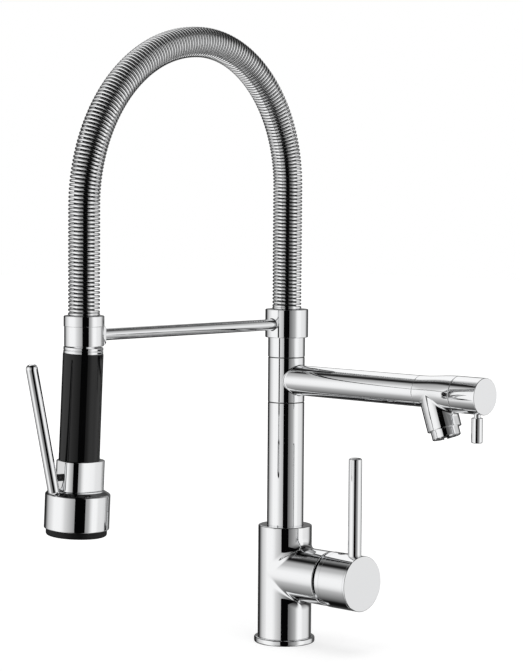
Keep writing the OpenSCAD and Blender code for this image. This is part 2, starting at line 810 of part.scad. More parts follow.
module aerator_shell() {
    r = aerator_d / 2;
    notch_w = 2.4;
    notch_h = 1.2;
    color(chrome)
        nozzle_frame()
            difference() {
                rotate_extrude()
                    polygon([[r - 2.4, nozzle_len - aerator_thread], [r - 1.2, nozzle_len - aerator_thread],
                        [r - 1.2, nozzle_len], [r, nozzle_len], [r, nozzle_len + aerator_h - 0.6],
                        [r - 0.6, nozzle_len + aerator_h], [r - 2.4, nozzle_len + aerator_h]]);
                for (i = [0:aerator_notches - 1])
                    rotate([0, 0, 45 + 360 * i / aerator_notches])
                        translate([r - 3, -notch_w / 2, nozzle_len + aerator_h - notch_h])
                            cube([4, notch_w, notch_h + past]);
            }
}

module aerator_screen() {
    r = aerator_d / 2 - 2.4;
    screen_t = 2.5;
    slot_w = 1.2;
    color(hose_grey)
        nozzle_frame()
            translate([0, 0, nozzle_len + aerator_h - screen_t - 1.5])
                difference() {
                    cylinder(h = screen_t, r = r);
                    for (i = [-2:2])
                        translate([-r * 0.7, i * 2 * slot_w - slot_w / 2, -past])
                            cube([r * 1.4, slot_w, screen_t + 2 * past]);
                }
}

module upper_glide_ring() {
    color(hose_grey)
        translate([0, 0, ring_top])
            difference() {
                cylinder(h = glide_t, d = riser_d - 1);
                translate([0, 0, -past]) cylinder(h = glide_t + 2 * past, r = journal_d / 2 + run_fit);
            }
}

module headwork_spindle() {
    turning_t = 2.6;
    disc_r = cage_d / 2 - disc_gap;
    color(brass)
        difference() {
            translate([0, 0, spout_z]) along_x()
                rotate_extrude()
                    polygon([[0, turning_disc_x], [disc_r, turning_disc_x], [disc_r, turning_disc_x + turning_t],
                        [spindle_d / 2 - 2, turning_disc_x + turning_t], [spindle_d / 2 - 2, bearing_x],
                        [spindle_d / 2, bearing_x], [spindle_d / 2, spindle_end], [0, spindle_end]]);
            // The disc's two ports stand across the seat's while the valve is shut
            for (side = [-1, 1])
                translate([turning_disc_x - past, 0, spout_z + side * seat_port_d]) along_x()
                    cylinder(h = turning_t + 2 * past, d = seat_port_d);
        }
}

module filler_knob() {
    r = knob_d / 2;
    color(chrome)
        difference() {
            translate([0, 0, spout_z]) along_x()
                rotate_extrude()
                    polygon([[0, knob_x], [r - 0.3, knob_x], [r, knob_x + 0.3], [r, knob_end - knob_edge],
                        [r - knob_edge, knob_end], [0, knob_end]]);
            translate([knob_x - past, 0, spout_z]) along_x()
                cylinder(h = spindle_end - knob_x + past, d = spindle_d);
            translate([filler_rod_x, 0, spout_z - r - past]) cylinder(h = filler_seat() + past, d = filler_neck_d);
        }
}
function filler_seat() = 5;

module filler_rod() {
    r = filler_rod_d / 2;
    n = filler_neck_d / 2;
    top = spout_z - knob_d / 2;
    bottom = top - filler_rod_len;
    c = 1.2;
    color(chrome)
        translate([filler_rod_x, 0, 0])
            rotate_extrude()
                polygon(concat([[0, bottom]], arc([r - c, bottom + c], c, -90, 0),
                    [[r, top - filler_neck_len - 1], [r - 0.8, top - filler_neck_len], [n, top - filler_neck_len],
                    [n, top + filler_seat()], [0, top + filler_seat()]]));
}

// Collar, arm and arch

module upper_sleeve() {
    color(chrome)
        translate([0, 0, sleeve_z])
            difference() {
                cylinder(h = sleeve_h, d = sleeve_d);
                translate([0, 0, -past]) cylinder(h = sleeve_h + 2 * past, r = journal_d / 2 + run_fit);
            }
}

module holder_collar() {
    r = collar_d / 2;
    c = 0.6;
    bore_r = journal_d / 2 + run_fit;
    color(chrome)
        difference() {
            rotate_extrude()
                polygon([[bore_r, collar_z], [r - c, collar_z], [r, collar_z + c], [r, collar_top - c],
                    [r - c, collar_top], [hose_d / 2, collar_top], [hose_d / 2, collar_top - collar_cap_t],
                    [cavity_d / 2, collar_top - collar_cap_t], [cavity_d / 2, collar_z + collar_floor],
                    [bore_r, collar_z + collar_floor]]);
            translate([0, -r + arm_seat(), arm_z]) rotate([90, 0, 0]) cylinder(h = r, d = arm_d);
        }
}
function arm_seat() = 3.6;

module hose_union() {
    spigot_r = column_bore / 2 - run_fit;
    spigot_len = 9;
    seal_z = union_z - 4;
    color(brass)
        difference() {
            rotate_extrude()
                polygon([[4.5, union_z - spigot_len], [spigot_r, union_z - spigot_len], [spigot_r, union_z],
                    [cavity_d / 2 - free_gap, union_z], [cavity_d / 2 - free_gap, collar_top - collar_cap_t],
                    [4.5, collar_top - collar_cap_t]]);
            translate([0, 0, seal_z - seal_cord / 2])
                difference() {
                    cylinder(h = seal_cord, r = spigot_r + past);
                    translate([0, 0, -past]) cylinder(h = seal_cord + 2 * past, r = spigot_r - seal_cord);
                }
        }
}

module union_seal() {
    spigot_r = column_bore / 2 - run_fit;
    color(rubber_black)
        translate([0, 0, union_z - 4])
            rotate_extrude() translate([spigot_r - seal_cord / 2, 0]) circle(d = seal_cord, $fn = 24);
}

module arch_hose() {
    hose_sides = 12;
    steps = 26;
    curve_start = column_leg;
    curve_end = arch_len - spray_leg;
    stations = concat([-collar_cap_t],
        [for (i = [0:steps]) curve_start + (curve_end - curve_start) * i / steps]);
    color(hose_grey)
        swept_tube([for (s = stations)
            ring_at(s < 0 ? on_arch(0) + [0, 0, s] : on_arch(s),
                s < curve_start + 1 ? [0, 0, 1] : s > curve_end - 1 ? [0, 0, -1] : heading(s),
                [1, 0, 0], hose_d / 2, hose_sides)], hose_sides);
}

module guide_tube() {
    color(hose_grey)
        translate([0, -arm_reach, dock_top])
            difference() {
                cylinder(h = spray_leg_top - dock_top, d = hose_d);
                translate([0, 0, -past])
                    cylinder(h = spray_leg_top - dock_top - 2 + past, r = slide_hose_d / 2 + free_gap);
            }
}

module arch_spring() {
    color(chrome)
        swept_tube([for (i = [0:len(wire_path) - 1])
            let (s = end_run + (arch_len - 2 * end_run) * (i - 1) / coil_n)
            ring_at(wire_path[i], path_heading(wire_path, i),
                i == 0 ? [1, 0, 0] : i == len(wire_path) - 1 ? [1, 0, 0] :
                heading(min(max(s, 0), arch_len)) * 0.2 + (wire_path[i] - on_arch(min(max(s, 0), arch_len))),
                wire_d / 2, wire_sides)], wire_sides);
}

module holder_arm() {
    start = collar_d / 2 - arm_seat();
    color(chrome)
        translate([0, -start, arm_z]) rotate([90, 0, 0])
            cylinder(h = arm_reach - start - lug_reach + lug_seat(), d = arm_d);
}
function lug_seat() = 6;

module docking_sleeve() {
    r = dock_d / 2;
    c = 0.5;
    h = dock_h;
    e = lug_edge;
    color(chrome)
        translate([0, -arm_reach, dock_z])
            difference() {
                union() {
                    rotate_extrude()
                        polygon([[0, 0], [r - c, 0], [r, c], [r, h], [0, h]]);
                    translate([-lug_w / 2, 0, 0]) rotate([90, 0, 90])
                        linear_extrude(lug_w)
                            polygon([[0, 0.4], [lug_reach - e, 0.4], [lug_reach, e + 0.4], [lug_reach, h - e - 0.4],
                                [lug_reach - e, h - 0.4], [0, h - 0.4]]);
                }
                translate([0, 0, -past]) cylinder(h = h + 2 * past, d = dock_bore);
                translate([0, lug_reach + past, arm_z - dock_z]) rotate([90, 0, 0])
                    cylinder(h = lug_seat() + past, d = arm_d);
            }
}

module spring_ferrule() {
    r = ferrule_d / 2;
    c = 0.7;
    color(chrome)
        translate([0, -arm_reach, dock_top])
            rotate_extrude()
                polygon([[hose_d / 2, 0], [r, 0], [r, ferrule_h - c], [r - c, ferrule_h], [hose_d / 2, ferrule_h]]);
}

// Hose and hand spray

module sliding_hose() {
    bottom = ball_z + ball_d / 2 - 1;
    color(hose_grey)
        translate([0, -arm_reach, bottom]) cylinder(h = spray_leg_top - 4 - bottom, d = slide_hose_d);
}

module hose_ball() {
    stub_d = slide_hose_d - 2;
    color(brass)
        translate([0, -arm_reach, ball_z])
            difference() {
                union() {
                    sphere(d = ball_d);
                    cylinder(h = ball_d / 2 - 1, d = stub_d);
                }
                translate([0, 0, ball_d / 2 - 1]) cylinder(h = ball_d, d = ball_d);
                translate([0, 0, -ball_d]) cylinder(h = 2 * ball_d, d = 6);
            }
}

module neck_nut() {
    r = neck_d / 2;
    spigot_top = ball_d / 4 + 0.9;
    socket_r = ball_d / 2 + free_gap;
    color(chrome)
        spray_frame()
            rotate_extrude()
                polygon([[water_d / 2, ring_s], [r - 0.6, ring_s],
                    [r - 0.6, ring_s + groove_h], [r, ring_s + groove_h + 0.2],
                    [r, neck_s - 0.4], [r - 0.4, neck_s], [neck_spigot_d / 2, neck_s],
                    [neck_spigot_d / 2, spigot_top], [slide_hose_d / 2 + 0.6, spigot_top],
                    [slide_hose_d / 2 + 0.6, spigot_top - 1.2], [socket_r, spigot_top - 1.2],
                    [socket_r, -ball_d / 2 - free_gap], [water_d / 2, -ball_d / 2 - free_gap]]);
}

module neck_ring() {
    r = neck_d / 2;
    color(chrome)
        spray_frame()
            rotate_extrude()
                polygon([[water_d / 2, grip_s], [r - 0.3, grip_s], [r, grip_s + 0.3], [r, ring_s - 0.3],
                    [r - 0.3, ring_s], [water_d / 2, ring_s]]);
}

module grip_core() {
    color(white_plastic)
        spray_frame()
            translate([0, 0, body_s])
                difference() {
                    cylinder(h = grip_len, d = water_d + 6);
                    translate([0, 0, -past]) cylinder(h = grip_len + 2 * past, d = water_d);
                }
}

module spray_grip() {
    top_r = neck_d / 2 + 0.3;
    foot_r = grip_d / 2;
    color(gloss_black)
        spray_frame()
            rotate_extrude()
                polygon([[water_d / 2 + 3, body_s], [foot_r, body_s], [foot_r, body_s + 0.5],
                    [top_r, grip_s - 0.4], [top_r - 0.4, grip_s], [water_d / 2 + 3, grip_s]]);
}

// The spray's body seen along its axis: a rounded rectangle, longer away from the lever
module barrel_block(from, height) {
    r = barrel_round;
    front = flat_reach + 0.35;
    for (side = [-1, 1])
        for (u = [front - r, r - barrel_reach])
            translate([u, side * (barrel_w / 2 - r), from]) cylinder(h = height, r = r);
    translate([-barrel_reach, r - barrel_w / 2, from])
        cube([front + barrel_reach, barrel_w - 2 * r, height]);
    translate([r - barrel_reach, -barrel_w / 2, from])
        cube([front + barrel_reach - 2 * r, barrel_w, height]);
}

module spray_body() {
    mouth = barrel_reach + past;
    color(chrome)
        lever_frame()
            difference() {
                barrel_block(shoulder_s, spray_len);
                translate([0, 0, shoulder_s - past]) cylinder(h = spray_len + 2 * past, d = water_d);
                // The flat behind the lever
                translate([flat_reach, -barrel_w, shoulder_s - past])
                    cube([barrel_w, 2 * barrel_w, spray_len + 2 * past]);
                // The button's bore and the valve's chamber behind it
                translate([0, 0, button_s]) along_x() cylinder(h = mouth, r = button_d / 2 + run_fit);
                translate([valve_start(), 0, button_s]) rotate([0, -90, 0])
                    cylinder(h = mouth + valve_start(), d = chamber_d());
            }
}
function valve_start() = 8;
function chamber_d() = 9;
function plug_seat() = 13;

module valve_plug() {
    head_r = 4;
    head_edge = 2;
    head_drop = 4.5;
    seat = barrel_reach - 1;
    // The plug closes the chamber's mouth, with a domed head just outside it
    color(chrome)
        lever_frame() translate([0, 0, button_s]) rotate([0, -90, 0])
            union() {
                translate([0, 0, plug_seat()]) cylinder(h = barrel_reach - 0.6 - plug_seat(), d = chamber_d());
                translate([0, 0, seat])
                    rotate_extrude()
                        polygon(concat([[0, 0], [head_r, 0]],
                            arc([0, head_edge - head_drop], norm([head_r, head_drop]),
                                atan(head_drop / head_r), 90, 6)));
            }
}

module return_spring() {
    wire = 0.7;
    coil = 2.6;
    start = plug_seat();
    length = 6;
    steps = return_turns * curl_rings;
    path = [for (i = [0:steps]) let (a = 360 * i / curl_rings)
        [-start + wire / 2 + (length - wire) * i / steps, coil * cos(a), coil * sin(a)]];
    color(steel)
        lever_frame() translate([0, 0, button_s])
            swept_tube([for (i = [0:steps])
                ring_at(path[i], path_heading(path, i), [0, path[i][1], path[i][2]], wire / 2, wire_sides)],
                wire_sides);
}

module spray_bell() {
    r = bell_d / 2;
    top_r = barrel_reach + 0.6;
    face_r = face_d / 2;
    chamber_h = 9;
    c = 0.8;
    chamber_s = bell_foot + face_t + chamber_h;
    pocket_in = pivot_u - eye_r() - pivot_drop * sin(lever_travel) - free_gap;
    pocket_out = pivot_u + eye_r() + free_gap;
    color(chrome)
        difference() {
            spray_frame()
                rotate_extrude()
                    polygon(concat([[water_d / 2, shoulder_s], [top_r, shoulder_s]],
                        arc([r - 1.2, bell_s - 1.2], 1.2, 70, 0, 4),
                        [[r, bell_foot + c], [r - c, bell_foot], [face_r, bell_foot], [face_r, chamber_s],
                        [water_d / 2, chamber_s]]));
            // The lever's pocket and the bore of its pin
            lever_frame() translate([pocket_in, -tongue_t / 2 - free_gap, press_pivot_s - eye_r() - free_gap])
                cube([pocket_out - pocket_in, tongue_t + 2 * free_gap, pivot_drop + eye_r() + 2]);
            lever_frame() translate([pivot_u, -lever_pin_len() / 2, press_pivot_s]) rotate([-90, 0, 0])
                cylinder(h = lever_pin_len(), d = press_pin_d);
        }
}
function eye_r() = 2.8;
function lever_pin_len() = 15;

module lever_pin() {
    color(steel)
        lever_frame() translate([pivot_u, -lever_pin_len() / 2, press_pivot_s]) rotate([-90, 0, 0])
            cylinder(h = lever_pin_len(), d = press_pin_d);
}

module spray_face() {
    hole_d = 1.5;
    color(hose_grey)
        spray_frame()
            translate([0, 0, bell_foot])
                difference() {
                    cylinder(h = face_t, d = face_d);
                    for (k = [1:3])
                        for (i = [0:round(face_nozzles * k / 3) - 1])
                            rotate([0, 0, 360 * i / round(face_nozzles * k / 3)])
                                translate([4.8 * k, 0, -past]) cylinder(h = face_t + 2 * past, d = hole_d);
                }
}

module rubber_rim() {
    r = rim_d / 2;
    c = 1.6;
    inner_r = 17.4;
    color(rubber_black)
        spray_frame()
            rotate_extrude()
                polygon(concat([[inner_r, bell_foot], [inner_r, bell_foot - rim_h + 1],
                    [inner_r + 1, bell_foot - rim_h]],
                    arc([r - c, bell_foot - rim_h + c], c, -90, 0), [[r, bell_foot]]));
}

module spray_lever() {
    r = press_rod_d / 2;
    foot = 0.2;
    tip = 2.2;
    tongue_w = 2 * eye_r();
    color(chrome)
        difference() {
            union() {
                press_frame()
                    rotate_extrude()
                        polygon(concat([[0, foot], [r - 0.3, foot], [r, foot + 0.3]],
                            arc([r - tip, press_len - tip], tip, 0, 90), [[0, press_len]]));
                lever_frame() translate([pivot_u - eye_r(), -tongue_t / 2, press_pivot_s])
                    cube([tongue_w, tongue_t, pivot_drop + 2.4]);
                lever_frame() translate([pivot_u, -tongue_t / 2, press_pivot_s]) rotate([-90, 0, 0])
                    cylinder(h = tongue_t, r = eye_r());
            }
            lever_frame() translate([pivot_u, -tongue_t, press_pivot_s]) rotate([-90, 0, 0])
                cylinder(h = 2 * tongue_t, r = press_pin_d / 2 + run_fit);
        }
}

module valve_button() {
    r = button_d / 2;
    stem_r = 1.4;
    disc_r = chamber_d() / 2 - 0.6;
    disc_at = 2.4;
    disc_h = 1.5;
    dome = 0.8;
    color(rubber_black)
        lever_frame() translate([0, 0, button_s]) along_x()
            rotate_extrude()
                polygon([[0, -disc_at - disc_h], [disc_r, -disc_at - disc_h], [disc_r, -disc_at],
                    [stem_r, -disc_at], [stem_r, valve_start() + 3], [r, valve_start() + 3],
                    [r, button_reach - dome], [r * 0.7, button_reach - dome * 0.3], [0, button_reach]]);
}

base_ring();
deck_seal();
tap_body();
side_branch();
mixer_cartridge();
fixed_disc();
cartridge_nut();
dome_cover();
riser_tube();
glide_ring();
journal_seals();
column_nut();
moving_disc();
cartridge_carrier();
tilt_pin();
cartridge_post();
handle_cap();
handle_lever();
handle_grub_screw();
index_plug();
swivel_ring();
spout_tube();
valve_body();
headwork();
aerator_shell();
aerator_screen();
upper_glide_ring();
headwork_spindle();
filler_knob();
filler_rod();
upper_sleeve();
holder_collar();
hose_union();
union_seal();
arch_hose();
guide_tube();
arch_spring();
holder_arm();
docking_sleeve();
spring_ferrule();
sliding_hose();
hose_ball();
neck_nut();
neck_ring();
grip_core();
spray_grip();
spray_body();
valve_plug();
return_spring();
spray_bell();
lever_pin();
spray_face();
rubber_rim();
spray_lever();
valve_button();
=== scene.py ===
import math
import bmesh
import bpy
import numpy as np
from mathutils import Matrix, Vector


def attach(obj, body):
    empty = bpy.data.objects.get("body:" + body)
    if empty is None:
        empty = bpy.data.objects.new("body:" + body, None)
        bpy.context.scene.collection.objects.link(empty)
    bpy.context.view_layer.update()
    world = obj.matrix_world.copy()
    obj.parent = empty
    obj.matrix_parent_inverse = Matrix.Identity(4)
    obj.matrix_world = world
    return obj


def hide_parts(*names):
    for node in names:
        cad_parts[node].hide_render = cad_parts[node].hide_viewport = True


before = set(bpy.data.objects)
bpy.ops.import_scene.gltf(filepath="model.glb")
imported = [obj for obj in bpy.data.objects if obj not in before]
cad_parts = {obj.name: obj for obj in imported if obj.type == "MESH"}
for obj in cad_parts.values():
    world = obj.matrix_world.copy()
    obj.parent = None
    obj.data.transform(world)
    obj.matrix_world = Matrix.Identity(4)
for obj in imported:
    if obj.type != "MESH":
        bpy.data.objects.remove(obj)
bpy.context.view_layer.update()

# Sizes are written in millimetres and angles in degrees. The origin is the centre of the tap's foot,
# +X points along the mixer handle and the side spout, and -Y along the docking arm.

# Camera
# A long lens 1.83 m away and 381 mm above the deck, turned 43.57 degrees from the arm's direction and
# looking slightly down.
view_turn, view_pitch, view_roll = np.radians([43.57, 3.842, 0.406])
toward = np.array([math.sin(view_turn), -math.cos(view_turn), 0.0])
rightward = np.array([math.cos(view_turn), math.sin(view_turn), 0.0])
skyward = np.array([0.0, 0.0, 1.0])
backward = math.cos(view_pitch) * toward + math.sin(view_pitch) * skyward
uphill = math.cos(view_pitch) * skyward - math.sin(view_pitch) * toward
axes = [math.cos(view_roll) * rightward + math.sin(view_roll) * uphill,
        math.cos(view_roll) * uphill - math.sin(view_roll) * rightward, backward]
stand = 1.8306 * toward - 0.02096 * rightward + 0.3805 * skyward
lens = bpy.data.cameras.new("product_lens")
lens.sensor_width = 36
lens.lens = 118.0
camera = bpy.data.objects.new("product_camera", lens)
camera.matrix_world = Matrix.Translation(stand) @ Matrix(axes).transposed().to_4x4()
bpy.context.scene.collection.objects.link(camera)
bpy.context.scene.camera = camera
bpy.context.scene.view_settings.view_transform = "Standard"


# Studio
# A white product studio round the tap: a pale floor, grey walls with dark flags behind, two tall windows,
# an overhead panel and a black card in front. The chrome mirrors all of these, and two soft lamps light
# the rest.
def add(tree, kind, inputs=None, **settings):
    """A shader node with its settings; each input is a plain value or another node's socket."""
    made = tree.nodes.new(kind)
    for name, value in settings.items():
        setattr(made, name, value)
    for name, value in (inputs or {}).items():
        if isinstance(value, bpy.types.NodeSocket):
            tree.links.new(value, made.inputs[name])
        else:
            made.inputs[name].default_value = value
    return made


def ramp(tree, factor, stops):
    """A colour ramp in greys: stops are pairs of place and display grey from 0 to 255."""
    made = add(tree, "ShaderNodeValToRGB", {"Fac": factor})
    marks = made.color_ramp.elements
    while len(marks) < len(stops):
        marks.new(1.0)
    for mark, (place, grey) in zip(marks, stops):
        level = ((grey / 255 + 0.055) / 1.055) ** 2.4
        mark.position = place
        mark.color = (level, level, level, 1)
    return made.outputs["Color"]


def part(degrees, half):
    """Where an angle lies between -half and half degrees, from 0 to 1."""
    return (degrees + half) / (2 * half)


def spread(stops, half):
    """Ramp stops given in degrees between -half and half."""
    return [(part(degrees, half), grey) for degrees, grey in stops]


def measured(tree, angle, half):
    """Where an angle in radians, from a node, lies between -half and half degrees, from 0 to 1."""
    return add(tree, "ShaderNodeMapRange", {"Value": angle, "From Min": -math.radians(half),
                                            "From Max": math.radians(half)}).outputs[0]


def dot(tree, vector, direction):
    """The part of a vector along a fixed direction."""
    return add(tree, "ShaderNodeVectorMath", {0: vector, 1: direction},
               operation="DOT_PRODUCT").outputs["Value"]


world = bpy.data.worlds.new("studio")
bpy.context.scene.world = world
world.use_nodes = True
sky = world.node_tree
sky.nodes.clear()
ray = add(sky, "ShaderNodeTexCoord").outputs["Generated"]
to_front, to_right, to_top = (dot(sky, ray, way) for way in (toward, rightward, skyward))
# Turn counts from the camera's side to the right, rise from the horizon up
turn = add(sky, "ShaderNodeMath", {0: to_right, 1: to_front}, operation="ARCTAN2").outputs[0]
turn = measured(sky, turn, 180)
rise = add(sky, "ShaderNodeMath", {0: to_top}, operation="ARCSINE").outputs[0]
rise = measured(sky, rise, 90)
around = ramp(sky, turn, spread([
    (-180, 110), (-162, 45), (-148, 25), (-136, 60), (-127, 150), (-112, 207), (-90, 237), (-70, 250),
    (-50, 234), (-30, 203), (-12, 170), (8, 100), (20, 115), (40, 165), (60, 212), (72, 246), (86, 232),
    (104, 228), (120, 212), (127, 168), (135, 85), (144, 60), (158, 100), (180, 110)], 180))
upward = ramp(sky, rise, spread([
    (-90, 60), (-60, 90), (-43, 160), (-26, 201), (-12, 245), (0, 255), (8, 252), (15, 230), (27, 204),
    (38, 188), (46, 120), (56, 50), (90, 40)], 90))
wall = add(sky, "ShaderNodeMix", {"Factor": 1.0, "A": around, "B": upward}, data_type="RGBA",
           blend_type="MULTIPLY").outputs[2]
# Two tall windows, left and right of the camera, light the flanks of the coil
wide = ramp(sky, turn, spread([
    (-92, 0), (-82, 255), (-60, 255), (-40, 0), (46, 0), (62, 255), (74, 255), (84, 0)], 180))
tall = ramp(sky, rise, spread([(-84, 0), (-74, 255), (32, 255), (50, 0)], 90))
window = add(sky, "ShaderNodeMath", {0: wide, 1: tall}, operation="MULTIPLY").outputs[0]
wall = add(sky, "ShaderNodeMix", {"Factor": window, "A": wall, "B": (0.88, 0.88, 0.88, 1)},
           data_type="RGBA").outputs[2]
# An overhead panel behind the tap, between 12 and 58 degrees up, whitens the tops of what lies flat,
# with a dark gap along its sides. Tip counts from the zenith to the right.
tip = add(sky, "ShaderNodeMath", {0: to_right, 1: to_top}, operation="ARCTAN2").outputs[0]
tip = measured(sky, tip, 60)
panel = ramp(sky, tip, spread([
    (-54.6, 164), (-49.4, 110), (-46, 30), (-42, 25), (-38, 80), (-33, 134), (-29, 221), (-24, 245), (0, 240),
    (10, 170), (18, 85), (38, 50), (48, 110), (60, 180)], 60))
covered = ramp(sky, tip, spread([(-54, 0), (-49.2, 255), (51.6, 255), (60, 0)], 60))
for value, out_of, into in [(rise, part(12, 90), part(20, 90)), (rise, part(58, 90), part(50, 90)),
                            (to_front, 0.1, -0.1)]:
    covered = add(sky, "ShaderNodeMapRange", {"Value": value, "From Min": out_of, "From Max": into,
                                              "To Max": covered}).outputs[0]
wall = add(sky, "ShaderNodeMix", {"Factor": covered, "A": wall, "B": panel}, data_type="RGBA").outputs[2]
walls = add(sky, "ShaderNodeBackground", {"Color": wall, "Strength": 1.15})
paper = add(sky, "ShaderNodeBackground", {"Color": (1, 1, 1, 1), "Strength": 1.0})
seen = add(sky, "ShaderNodeLightPath").outputs["Is Camera Ray"]
mixed = add(sky, "ShaderNodeMixShader", {"Fac": seen, 1: walls.outputs[0], 2: paper.outputs[0]})
add(sky, "ShaderNodeOutputWorld", {"Surface": mixed.outputs[0]})


def finish(name):
    """A new material with an empty node tree and its output; returns the material, tree and output."""
    made = bpy.data.materials.new(name)
    made.use_nodes = True
    made.node_tree.nodes.clear()
    return made, made.node_tree, made.node_tree.nodes.new("ShaderNodeOutputMaterial")


def board(name, corners, shader, *unseen):
    """A flat studio board through four corners, in metres, that some kinds of ray don't see."""
    mesh = bpy.data.meshes.new(name)
    mesh.from_pydata(corners, [], [(0, 1, 2, 3)])
    mesh.materials.append(shader)
    made = bpy.data.objects.new(name, mesh)
    bpy.context.scene.collection.objects.link(made)
    for kind in unseen:
        setattr(made, "visible_" + kind, False)


black_card, tree, out = finish("black_card")
tree.links.new(add(tree, "ShaderNodeEmission", {"Color": (0.0015, 0.0015, 0.0016, 1)}).outputs[0],
               out.inputs["Surface"])
card_foot, card_height = 0.68 * toward - 0.012 * rightward - 3 * skyward, 8.0 * skyward
half_card = np.cross(skyward, toward) * 0.37 / 2
board("front_card", [card_foot - half_card, card_foot + half_card, card_foot + card_height + half_card,
                     card_foot + card_height - half_card], black_card, "camera", "shadow", "diffuse")

floor_paper, tree, out = finish("floor_paper")
cloth = add(tree, "ShaderNodeBsdfDiffuse", {"Color": (0.42, 0.42, 0.42, 1)})
glow = add(tree, "ShaderNodeEmission", {"Color": (1, 1, 1, 1)})
# Painted shade: for camera rays the floor's glow falls from full strength 1.6 m out to 0.68 within 0.2 m of
# the tap, which darkens the floor round its foot on top of the diffuse part's real shadow.
near = add(tree, "ShaderNodeVectorMath", {0: add(tree, "ShaderNodeTexCoord").outputs["Object"]},
           operation="LENGTH").outputs["Value"]
glow_dimmed_near_tap = add(tree, "ShaderNodeMapRange", {"Value": near, "From Min": 0.2, "From Max": 1.6, "To Min": 0.68,
                                        "To Max": 1.0})
lit = add(tree, "ShaderNodeMath", {0: add(tree, "ShaderNodeLightPath").outputs["Is Camera Ray"],
                                   1: glow_dimmed_near_tap.outputs[0]}, operation="MULTIPLY")
tree.links.new(lit.outputs[0], glow.inputs["Strength"])
both = add(tree, "ShaderNodeAddShader", {0: cloth.outputs[0], 1: glow.outputs[0]})
tree.links.new(both.outputs[0], out.inputs["Surface"])
board("floor", [(-6, -6, 0), (6, -6, 0), (6, 6, 0), (-6, 6, 0)], floor_paper, "glossy")


def lamp(name, place, size, watts):
    """A square soft lamp aimed at the middle of the tap, not seen in reflections."""
    light = bpy.data.lights.new(name, "AREA")
    light.size = size
    light.energy = watts
    made = bpy.data.objects.new(name, light)
    place = Vector(place)
    aim = (Vector((0, -0.1, 0.25)) - place).to_track_quat("-Z", "Y")
    made.matrix_world = Matrix.Translation(place) @ aim.to_matrix().to_4x4()
    bpy.context.scene.collection.objects.link(made)
    made.visible_glossy = made.visible_camera = False


lamp("overhead_lamp", (0.2, -0.2, 2.2), 2.0, 34)
lamp("front_lamp", 1.9 * toward + 0.9 * rightward + 1.1 * skyward, 1.4, 16)


# Surfaces and finishes of the foot
# The base ring is a turned brass flange, chromed, with a rounded rim. It stands on the deck over a
# rubber seal, and the body's spigot sits inside it.
MM = 0.001


def skin(name, *sheets, crease=32):
    """A closed mesh from grids of points in millimetres: neighbours in a grid make quads, points that
    coincide are welded, which closes seams and poles, and the faces are turned outwards. Edges
    sharper than crease degrees stay sharp."""
    points, quads, first = [], [], 0
    for sheet in sheets:
        rows, cols = sheet.shape[:2]
        at = first + np.arange(rows * cols).reshape(rows, cols)
        quads.append(np.stack([at[:-1, :-1], at[1:, :-1], at[1:, 1:], at[:-1, 1:]], -1).reshape(-1, 4))
        points.append(sheet.reshape(-1, 3) * MM)
        first += rows * cols
    mesh = bpy.data.meshes.new(name)
    mesh.from_pydata(np.concatenate(points).tolist(), [], np.concatenate(quads).tolist())
    shape = bmesh.new()
    shape.from_mesh(mesh)
    bmesh.ops.remove_doubles(shape, verts=shape.verts, dist=2e-6)
    bmesh.ops.recalc_face_normals(shape, faces=shape.faces)
    shape.to_mesh(mesh)
    shape.free()
    mesh.shade_smooth()
    mesh.set_sharp_from_angle(angle=math.radians(crease))
    made = bpy.data.objects.new(name, mesh)
    bpy.context.scene.collection.objects.link(made)
    return made


def rounded(corners, closed=False, steps=6, guard=0.25):
    """A profile through corners (radius, height, rounding). Each rounded corner becomes a circular arc
    that touches its two edges, with a guard point further along each edge that keeps the flat flat.
    A missing rounding leaves the corner sharp."""
    spots = [np.array(c[:2], float) for c in corners]
    rounds = [c[2] if len(c) > 2 else 0 for c in corners]
    count = len(spots)
    line = []
    for i, (spot, r) in enumerate(zip(spots, rounds)):
        if r <= 0:
            line.append(spot[None])
            continue
        a, b = spots[i - 1] - spot, spots[(i + 1) % count] - spot
        la, lb = np.linalg.norm(a), np.linalg.norm(b)
        a, b = a / la, b / lb
        half = math.acos(np.clip(a @ b, -1, 1)) / 2
        cut = r / math.tan(half)
        centre = spot + (a + b) / np.linalg.norm(a + b) * r / math.sin(half)
        start, stop = spot + a * cut - centre, spot + b * cut - centre
        sweep = math.acos(np.clip(start @ stop / r / r, -1, 1))
        q = np.linspace(0, 1, steps + 1)[:, None]
        arc = centre + (np.sin((1 - q) * sweep) * start + np.sin(q * sweep) * stop) / math.sin(sweep)
        before = spot + a * min(cut + guard, (cut + la) / 2)
        after = spot + b * min(cut + guard, (cut + lb) / 2)
        line += [before[None], arc, after[None]]
    if closed:
        line.append(line[0][:1])
    return np.concatenate(line)


def carried(profile, place=None, sides=128):
    """The grid of a profile (radius, height) carried round its axis, then put in place."""
    a = np.linspace(0, 2 * math.pi, sides + 1)
    r, z = profile[:, 0, None], profile[:, 1, None]
    grid = np.stack([r * np.cos(a), r * np.sin(a), np.broadcast_to(z, (len(profile), sides + 1))], -1)
    return grid if place is None else placed(grid, place)


def placed(grid, place):
    """Points turned and shifted by a 4x4 matrix in millimetres."""
    m = np.array(place)
    return grid @ m[:3, :3].T + m[:3, 3]


def shift(x, y, z):
    """The matrix that moves a point by x, y and z."""
    return Matrix.Translation((x, y, z))


def spin(degrees, axis):
    """The matrix that turns a point about the X, Y or Z axis."""
    return Matrix.Rotation(math.radians(degrees), 4, axis)


def turned(name, corners, place=None, sides=128, closed=False, steps=6):
    """A lathe-turned piece from its profile's corners."""
    return skin(name, carried(rounded(corners, closed, steps), place, sides))


def fit(piece, body, coat, slot, *nodes):
    """Gives a piece its coat, lets it ride on its body and stand for the CAD nodes it replaces."""
    piece.data.materials.clear()
    piece.data.materials.append(coat)
    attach(piece, body)
    if nodes:
        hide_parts(*nodes)


def dress(coat, *nodes):
    """Gives a coat to CAD nodes that stay as they are."""
    for name in nodes:
        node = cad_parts[name]
        if not node.material_slots:
            node.data.materials.append(coat)
        for slot in node.material_slots:
            slot.material = coat


